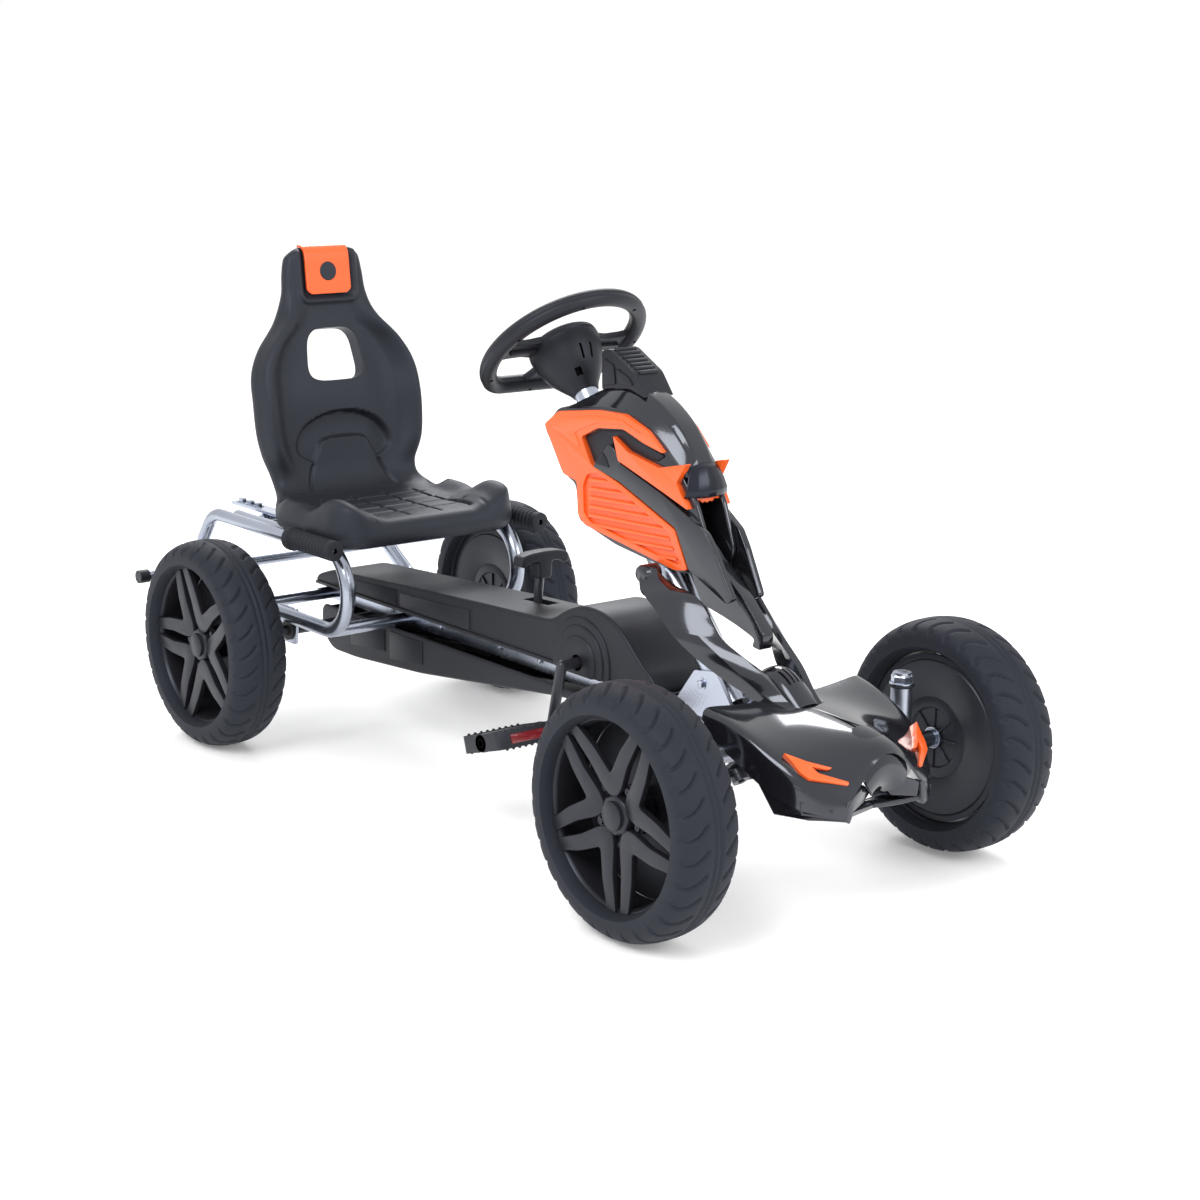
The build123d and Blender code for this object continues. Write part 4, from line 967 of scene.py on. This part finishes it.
lamp_start = Vector((102, -78, 199.5))
lamp_run = Vector((56, -131, 169.5)) - lamp_start
lamp_along = lamp_run.normalized()
lamp_out = Vector((0.326, -0.684, 0.653)).normalized()
lamp_down = lamp_out.cross(lamp_along)
lamps = []
for sign in (1, -1):
    corners = []
    for s, t in rounded(
            ((0, -1), (27, -4), (55, -10.5), (52, -6), (34, -0.5), (44, 3), (78, -3.6), (79, 0.5),
            (37, 14.5), (25, 12), (12, 4.5)), 1.6):
        x, d, z = lamp_start + lamp_along * s + lamp_down * t - lamp_out * 3
        corners.append((sign * x, nose(d), z))
    blade = slab(corners, (sign * lamp_out[0] * 12, lamp_out[1] * 12, lamp_out[2] * 12))
    lamps.append(soften(blade, 1.3, 3))
dress(joined(lamps), "nose_lamps", "orange_plastic", "frame", ("lamp_inserts",))


# ---------------------------------------------------------------- steering wheel
column_tilt = radians(41)
column_foot_y, column_foot_z, column_length = nose(115.4), 202, 516
wheel_centre = Vector(
    (0, column_foot_y + column_length * sin(column_tilt), column_foot_z + column_length * cos(column_tilt)))
on_column = Matrix(((1, 0, 0), (0, cos(column_tilt), sin(column_tilt)),
                    (0, -sin(column_tilt), cos(column_tilt)))).to_4x4()
on_column.translation = wheel_centre * MM


def d_path(count, radius=103.0, flat=80.0, bend=30.0):
    """Evenly spaced points on a ring with a flat side, with the way each one faces."""
    inner = radius - bend
    reach = flat - bend
    corner = atan2(reach, (inner ** 2 - reach ** 2) ** 0.5)
    corner_x = (inner ** 2 - reach ** 2) ** 0.5
    runs = [radius * (pi + 2 * corner), bend * (pi / 2 - corner), 2 * corner_x, bend * (pi / 2 - corner)]
    points = []
    for number in range(count):
        run = number / count * sum(runs)
        if run < runs[0]:
            turn = corner - run / radius
            points.append((radius * cos(turn), radius * sin(turn), turn))
        elif run < runs[0] + runs[1]:
            turn = pi - corner - (run - runs[0]) / bend
            points.append((-corner_x + bend * cos(turn), reach + bend * sin(turn), turn))
        elif run < runs[0] + runs[1] + runs[2]:
            points.append((-corner_x + run - runs[0] - runs[1], flat, pi / 2))
        else:
            turn = pi / 2 - (run - runs[0] - runs[1] - runs[2]) / bend
            points.append((corner_x + bend * cos(turn), reach + bend * sin(turn), turn))
    return points


def wheel_ring():
    """The rim: a D shaped ring with finger grooves and screw holes."""
    around, across = 168, 48
    bpy.ops.object.select_all(action="DESELECT")
    bpy.ops.mesh.primitive_torus_add(major_segments=around, minor_segments=across, major_radius=1,
                                     minor_radius=0.1)
    item = bpy.context.active_object
    path = d_path(around)
    for number, point in enumerate(item.data.vertices):
        x, y, facing = path[number // across]
        turn = 2 * pi * (number % across) / across
        thick = 11.5 - 1.3 * max(0.0, 1 - abs(turn if turn < pi else turn - 2 * pi) / 0.2)
        thick -= 0.7 * max(0.0, 1 - abs(turn - pi) / 0.2)
        out = thick * cos(turn) * 0.94
        point.co = Vector((x + out * cos(facing), y + out * sin(facing), thick * sin(turn))) * MM
    outward(item)
    holes = []
    for number in range(0, around, around // 7):
        x, y, facing = path[number]
        holes.append(
            moved(spun_on_z([(-14, 0.05), (-14, 2.6), (-7, 2.6), (-7, 0.05)], 14),
            Matrix.Translation(Vector((x, y, 0)) * MM)))
    return carve(item, holes)


wheel_parts = [wheel_ring()]
for outline in (((36, -19), (62, -13), (84, -15), (98, -20), (98, 20), (84, 15), (62, 13), (36, 19)),
                ((-36, -19), (-62, -13), (-84, -15), (-98, -20), (-98, 20), (-84, 15), (-62, 13), (-36, 19)),
                ((-19, 34), (-15, 55), (-24, 76), (24, 76), (15, 55), (19, 34))):
    bar = slab([(p.x, p.y, -3.5) for p in rounded(outline, 4)], (0, 0, 9.5))
    wheel_parts.append(soften(bar, 2.6, 4))
for sign in (1, -1):
    rib = slab([(sign * x, y, -8) for x, y in ((40, -4), (86, -2.2), (86, 2.2), (40, 4))], (0, 0, 6))
    wheel_parts.append(soften(rib, 1.0, 2))
wheel_parts.append(
    spun_on_z([(-3, 0.05), (-3, 44.5), (1, 46.5), (5, 45.5), (8, 41), (9.5, 30), (10.4, 26), (9.2, 24.5),
    (9.8, 14), (10.4, 0.05)], 72))
dress(moved(joined(wheel_parts), on_column), "grip_wheel", "cover_plastic", "steering", ("steering_wheel",))

bell = spun_on_z(
    [(-72, 17.5), (-66, 20), (-56, 27), (-44, 35), (-30, 41.5), (-16, 45.3), (-6, 46.8), (-3, 47),
    (-3, 44.4), (-8, 44), (-30, 38.8), (-44, 32.4), (-56, 24.6), (-66, 17.8), (-69, 13.5), (-72, 13.5)], 96)
cutters = []
for turn, low, high, wide in ((-104, -42, -24, 1.6), (-84, -42, -24, 1.6), (-124, -58, -49, 4.2)):
    cutter = slab(
        [(22, -wide, low), (60, -wide, low), (60, -wide, high), (22, -wide, high)], (0, 2 * wide, 0))
    cutters.append(moved(cutter, Matrix.Rotation(radians(turn), 4, "Z")))
carve(bell, cutters)
dress(moved(bell, on_column), "hub_bell", "cover_plastic", "steering", ("steering_hub_cover",), 40)


# ---------------------------------------------------------------- chain covers
crank_y = nose(351.4)
crank_z = 207.0
lever_x, lever_y = 19, nose(535)
cover_half, cover_wall = 46, 2.5
spindle_hole, axle_bore = 10, 10.5


def trough(outline, inner, half, wall, bevel):
    """Covers as deep moulded troughs: a softened block with its inside taken out."""
    block = slab([(-half, y, z) for y, z in rounded(outline, 16, 6)], (2 * half, 0, 0))
    soften(block, bevel, 5, 40)
    room = slab([(-half + wall, y, z) for y, z in inner], (2 * (half - wall), 0, 0))
    return carve(block, [room])


top = [
    (nose(202), 191.5), (tail(64), 191.5), (tail(64), 204), (tail(20), 219), (lever_y + 20, 242),
    (lever_y - 110, 248), (crank_y + 62, 251), (crank_y + 34, 268), (crank_y - 2, 281), (crank_y - 42, 279),
    (crank_y - 78, 262), (nose(236), 228), (nose(212), 214)]
inside = [(nose(210), 185), (tail(60), 185), (tail(60), 201), (tail(20), 215), (lever_y + 20, 238),
          (lever_y - 110, 244), (crank_y + 62, 247), (crank_y + 30, 262), (crank_y - 4, 275),
          (crank_y - 38, 273), (crank_y - 70, 257), (nose(236), 221), (nose(216), 209)]
cover = trough(top, inside, cover_half, cover_wall, 9)
lever_slot = slab(
    [(lever_x - 10, y, 222) for y in (lever_y - 40, lever_y + 16)]
    + [(lever_x + 10, y, 222) for y in (lever_y + 16, lever_y - 40)], (0, 0, 50))
carve(cover, [lever_slot])
shapes = [cover]
for sign in (1, -1):
    for low, high, radius in ((38, 49, 56), (38, 52, 46), (38, 54.5, 33)):
        boss = turned(
            [(sign * low, 10.5), (sign * low, radius + 3), (sign * (high - 2), radius + 2),
            (sign * high, radius), (sign * high, 10.5)], (0, crank_y, crank_z), (1, 0, 0), (0, 0, 1), 64)
        below = slab(
            [(sign * 30, crank_y - 90, 100), (sign * 30, crank_y + 90, 100),
            (sign * 30, crank_y + 90, 191.5), (sign * 30, crank_y - 90, 191.5)], (sign * 40, 0, 0))
        shapes.append(soften(carve(boss, [below]), 1.0, 2))
    hole = turned(
        [(sign * 20, 0.05), (sign * 20, spindle_hole), (sign * 70, spindle_hole), (sign * 70, 0.05)],
        (0, crank_y, crank_z), (1, 0, 0), (0, 0, 1), 32)
    carve(shapes[0], [hole])
    flange = slab([(sign * 45, nose(214), 191.6), (sign * 45, tail(62), 191.6), (sign * 45, tail(62), 196.5),
                   (sign * 45, nose(214), 196.5)], (sign * 3.5, 0, 0))
    shapes.append(soften(flange, 1.2, 2))
    for start, end, low, high in ((tail(-4), tail(-150), 198, 221), (tail(-160), lever_y + 60, 198, 226)):
        panel_edge = slab([(sign * 45.6, start, low), (sign * 45.6, end, low), (sign * 45.6, end, high),
                           (sign * 45.6, start, high - 8)], (sign * 1.6, 0, 0))
        shapes.append(soften(panel_edge, 1.0, 2))
front_flange = slab(
    [(x, nose(d), 191.6) for x, d in ((-45, 214), (45, 214), (34, 198), (-34, 198))], (0, 0, 4.5))
shapes.append(soften(front_flange, 1.2, 2))
dress(joined(shapes), "chain_cover", "cover_plastic", "frame", ("upper_cover",), 34)

guard_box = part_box("lower_guard")
low_z = guard_box[0][2] / MM
first_y, last_y = guard_box[0][1] / MM, guard_box[1][1] / MM
under = [(first_y, 164.5), (last_y, 164.5), (last_y, low_z + 24), (last_y - 26, low_z), (last_y - 90, low_z),
         (last_y - 255, low_z + 12), (crank_y + 44, low_z + 51), (first_y, low_z + 54)]
room = [(first_y + 2.5, 180), (last_y - 2.5, 180), (last_y - 2.5, low_z + 25), (last_y - 27, low_z + 3),
        (last_y - 90, low_z + 3), (last_y - 255, low_z + 15), (crank_y + 44, low_z + 54),
        (first_y + 2.5, low_z + 57)]
guard = trough(under, room, cover_half, cover_wall, 6)
axle_hole = turned(
    [(-80, 0.05), (-80, axle_bore), (80, axle_bore), (80, 0.05)], (0, tail(0), axle_height / MM), (1, 0, 0),
    (0, 0, 1), 32)
carve(guard, [axle_hole])
lines = [guard]
for sign in (1, -1):
    for start, end in ((-30, -120), (-132, -214)):
        line = slab([(sign * 45.6, tail(start), 158), (sign * 45.6, tail(end), 158),
                     (sign * 45.6, tail(end), low_z + 26), (sign * 45.6, tail(start), low_z + 18)],
                    (sign * 1.5, 0, 0))
        lines.append(soften(line, 1.0, 2))
dress(joined(lines), "chain_guard", "cover_plastic", "frame", ("lower_guard",), 34)


# ---------------------------------------------------------------- pedals
finishes["reflector_red"] = finish(
    "reflector_red", (0.16, 0.006, 0.010), 0.2, coat=0.7, scale=420, depth=0.5, lift=0.0008)


def pedal_cage():
    """Cage with two windows, a middle barrel, cross webs and rows of teeth."""
    length, width, tall = 98, 82, 22
    body = slab(
        [(p.x, p.y, -tall / 2) for p in rounded(((-length / 2, -width / 2), (length / 2, -width / 2),
        (length / 2, width / 2), (-length / 2, width / 2)), 9)], (0, 0, tall))
    windows = []
    for place in (-1, 1):
        for x0, x1 in ((-43, -16), (-12.5, 12.5), (16, 43)):
            windows.append(
                slab([(x, y, -30) for x, y in ((x0, place * 12), (x1, place * 12), (x1, place * 36),
                (x0, place * 36))], (0, 0, 60)))
    carve(body, windows)
    soften(body, 1.1, 2)
    pieces = [body]
    for place in (-1, 1):
        for level in (-1, 1):
            for number in range(9):
                x = -38 + 9.5 * number
                tooth = slab([(x - 3, place * 37.4, level * 10), (x + 3, place * 37.4, level * 10),
                              (x, place * 37.4, level * 13.2)], (0, place * 3.2, 0))
                pieces.append(tooth)
    barrel = spun_on_x([(-49, 5.2), (-49, 11), (-46, 12), (46, 12), (49, 11), (49, 5.2)], 40)
    pieces.append(barrel)
    return joined(pieces)


def reflector():
    """Reflector plates for the front and back of a pedal."""
    parts = []
    for place in (-1, 1):
        plate = slab(
            [(x, place * 40.2, z) for x, z in rounded(((-31, -6), (31, -6), (31, 6), (-31, 6)), 2)],
            (0, place * 1.8, 0))
        parts.append(soften(plate, 0.5, 2))
    return joined(parts)


cage, plates = pedal_cage(), reflector()
for side, sign in SIDES.items():
    low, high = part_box("pedal_" + side)
    where = Matrix.Translation([(a + b) / 2 for a, b in zip(low, high)]) @ Matrix.Rotation(radians(-17), 4,
        "X")
    dress(
        moved(copied(cage), where), "pedal_cage_" + side, "pedal_plastic", "pedal_" + side,
        ("pedal_" + side,), 30)
    shine = dress(moved(copied(plates), where), "pedal_reflectors_" + side, "smoked_lens", "pedal_" + side)
    shine.data.materials[0] = finishes["reflector_red"]
for spare in (cage, plates):
    bpy.data.objects.remove(spare)

# ---------------------------------------------------------------- hand brake, grips, nuts and bolts
handle = slab(
    [(lever_x + p.x, lever_y - 22, 305 + p.y) for p in rounded(((-40, -9), (-38, 3), (-22, 7), (0, 8),
    (22, 7), (38, 3), (40, -9), (33, -12), (25, -7), (12, -6), (10.5, -29), (-10.5, -29), (-12, -6),
    (-25, -7), (-33, -12)), 4, 4)], (0, 21, 0))
dress(soften(handle, 6.5, 5, 40), "brake_t_handle", "cover_plastic", "brake_lever", ("brake_handle",), 50)

grips = []
grip_x, grip_z, grip_radius, groove_radius, grip_pitch = 172.5, 298.5, 14.2, 12.9, 8.4
for sign in (1, -1):
    start = tail(-193)
    section = [(-1.5, 4), (-1.5, 11), (0, 13.6), (4, grip_radius)]
    for number in range(11):
        low = 8 + number * grip_pitch
        section += [
            (low, grip_radius), (low + 1.2, groove_radius), (low + 5.4, groove_radius),
            (low + 6.6, grip_radius)]
    section += [(101, grip_radius), (103, 17), (110.5, 17), (112, 15.5), (112, 9.1), (0.5, 9.1), (0.5, 4)]
    grips.append(turned(section, (sign * grip_x, start, grip_z), (0, 1, 0), (0, 0, 1), 40))
dress(joined(grips), "ribbed_grips", "grip_rubber", "frame", ("hand_grips",), 34)

kingpin_x = 165
for side, sign in SIDES.items():
    centre = (sign * kingpin_x, nose(0), 0)
    nut = turned([(224.5, 8), (224.5, 13.4), (232.5, 13.4), (235.4, 11.2), (237.2, 8.0), (237.4, 0.05),
                  (226, 0.05), (226, 8)], centre, (0, 0, 1), (1, 0, 0), 6)
    washer = turned(
        [(222.6, 8.2), (222.6, 14.4), (223.2, 15), (224.2, 15), (224.8, 14.2), (224.8, 8.2)], centre,
        (0, 0, 1), (1, 0, 0), 40)
    dress(joined([nut, washer]), "kingpin_cap_nut_" + side, "zinc_steel", "knuckle_" + side, (), 25)
    ring = turned(
        [(219.8, 13.1), (219.2, 14.6), (220.2, 15.4), (221.4, 15.4), (222.2, 14.6), (221.6, 13.1)], centre,
        (0, 0, 1), (1, 0, 0), 40)
    dress(ring, "kingpin_dust_ring_" + side, "grip_rubber", "frame")


def hex_head(place, axis, across, radius=5.6, tall=4.2):
    """Hexagon head on a thin washer."""
    head = turned(
        [(0.8, 0.05), (0.8, radius), (tall - 0.8, radius), (tall, radius * 0.82), (tall + 0.2, 0.05)], place,
        axis, across, 6)
    plate = turned(
        [(0, 0.05), (0, radius * 1.35), (0.9, radius * 1.35), (0.9, 0.05)], place, axis, across, 28)
    return joined([head, plate])


bolts = []
plate_outside, beam_outside = 26.5, 21.5
for sign in (1, -1):
    for d, z in ((144, 221), (205, 180), (60, 178)):
        bolts.append(hex_head((sign * plate_outside, nose(d), z), (sign, 0, 0), (0, 0, 1)))
    for d in (236, 300, 470, 560, 700, 820):
        bolts.append(hex_head((sign * beam_outside, nose(d), 180), (sign, 0, 0), (0, 0, 1), 4.2, 3.4))
dress(joined(bolts), "frame_bolts", "zinc_steel", "frame", ("frame_fasteners",), 25)
seat_bolts = []
for sign in (1, -1):
    for distance in (112, 134, 158):
        seat_bolts.append(hex_head((sign * 112, tail(distance), 305.5), (0, 0, 1), (1, 0, 0), 6.2, 5))
dress(joined(seat_bolts), "seat_bar_bolts", "zinc_steel", "seat", ("seat_fasteners",), 25)
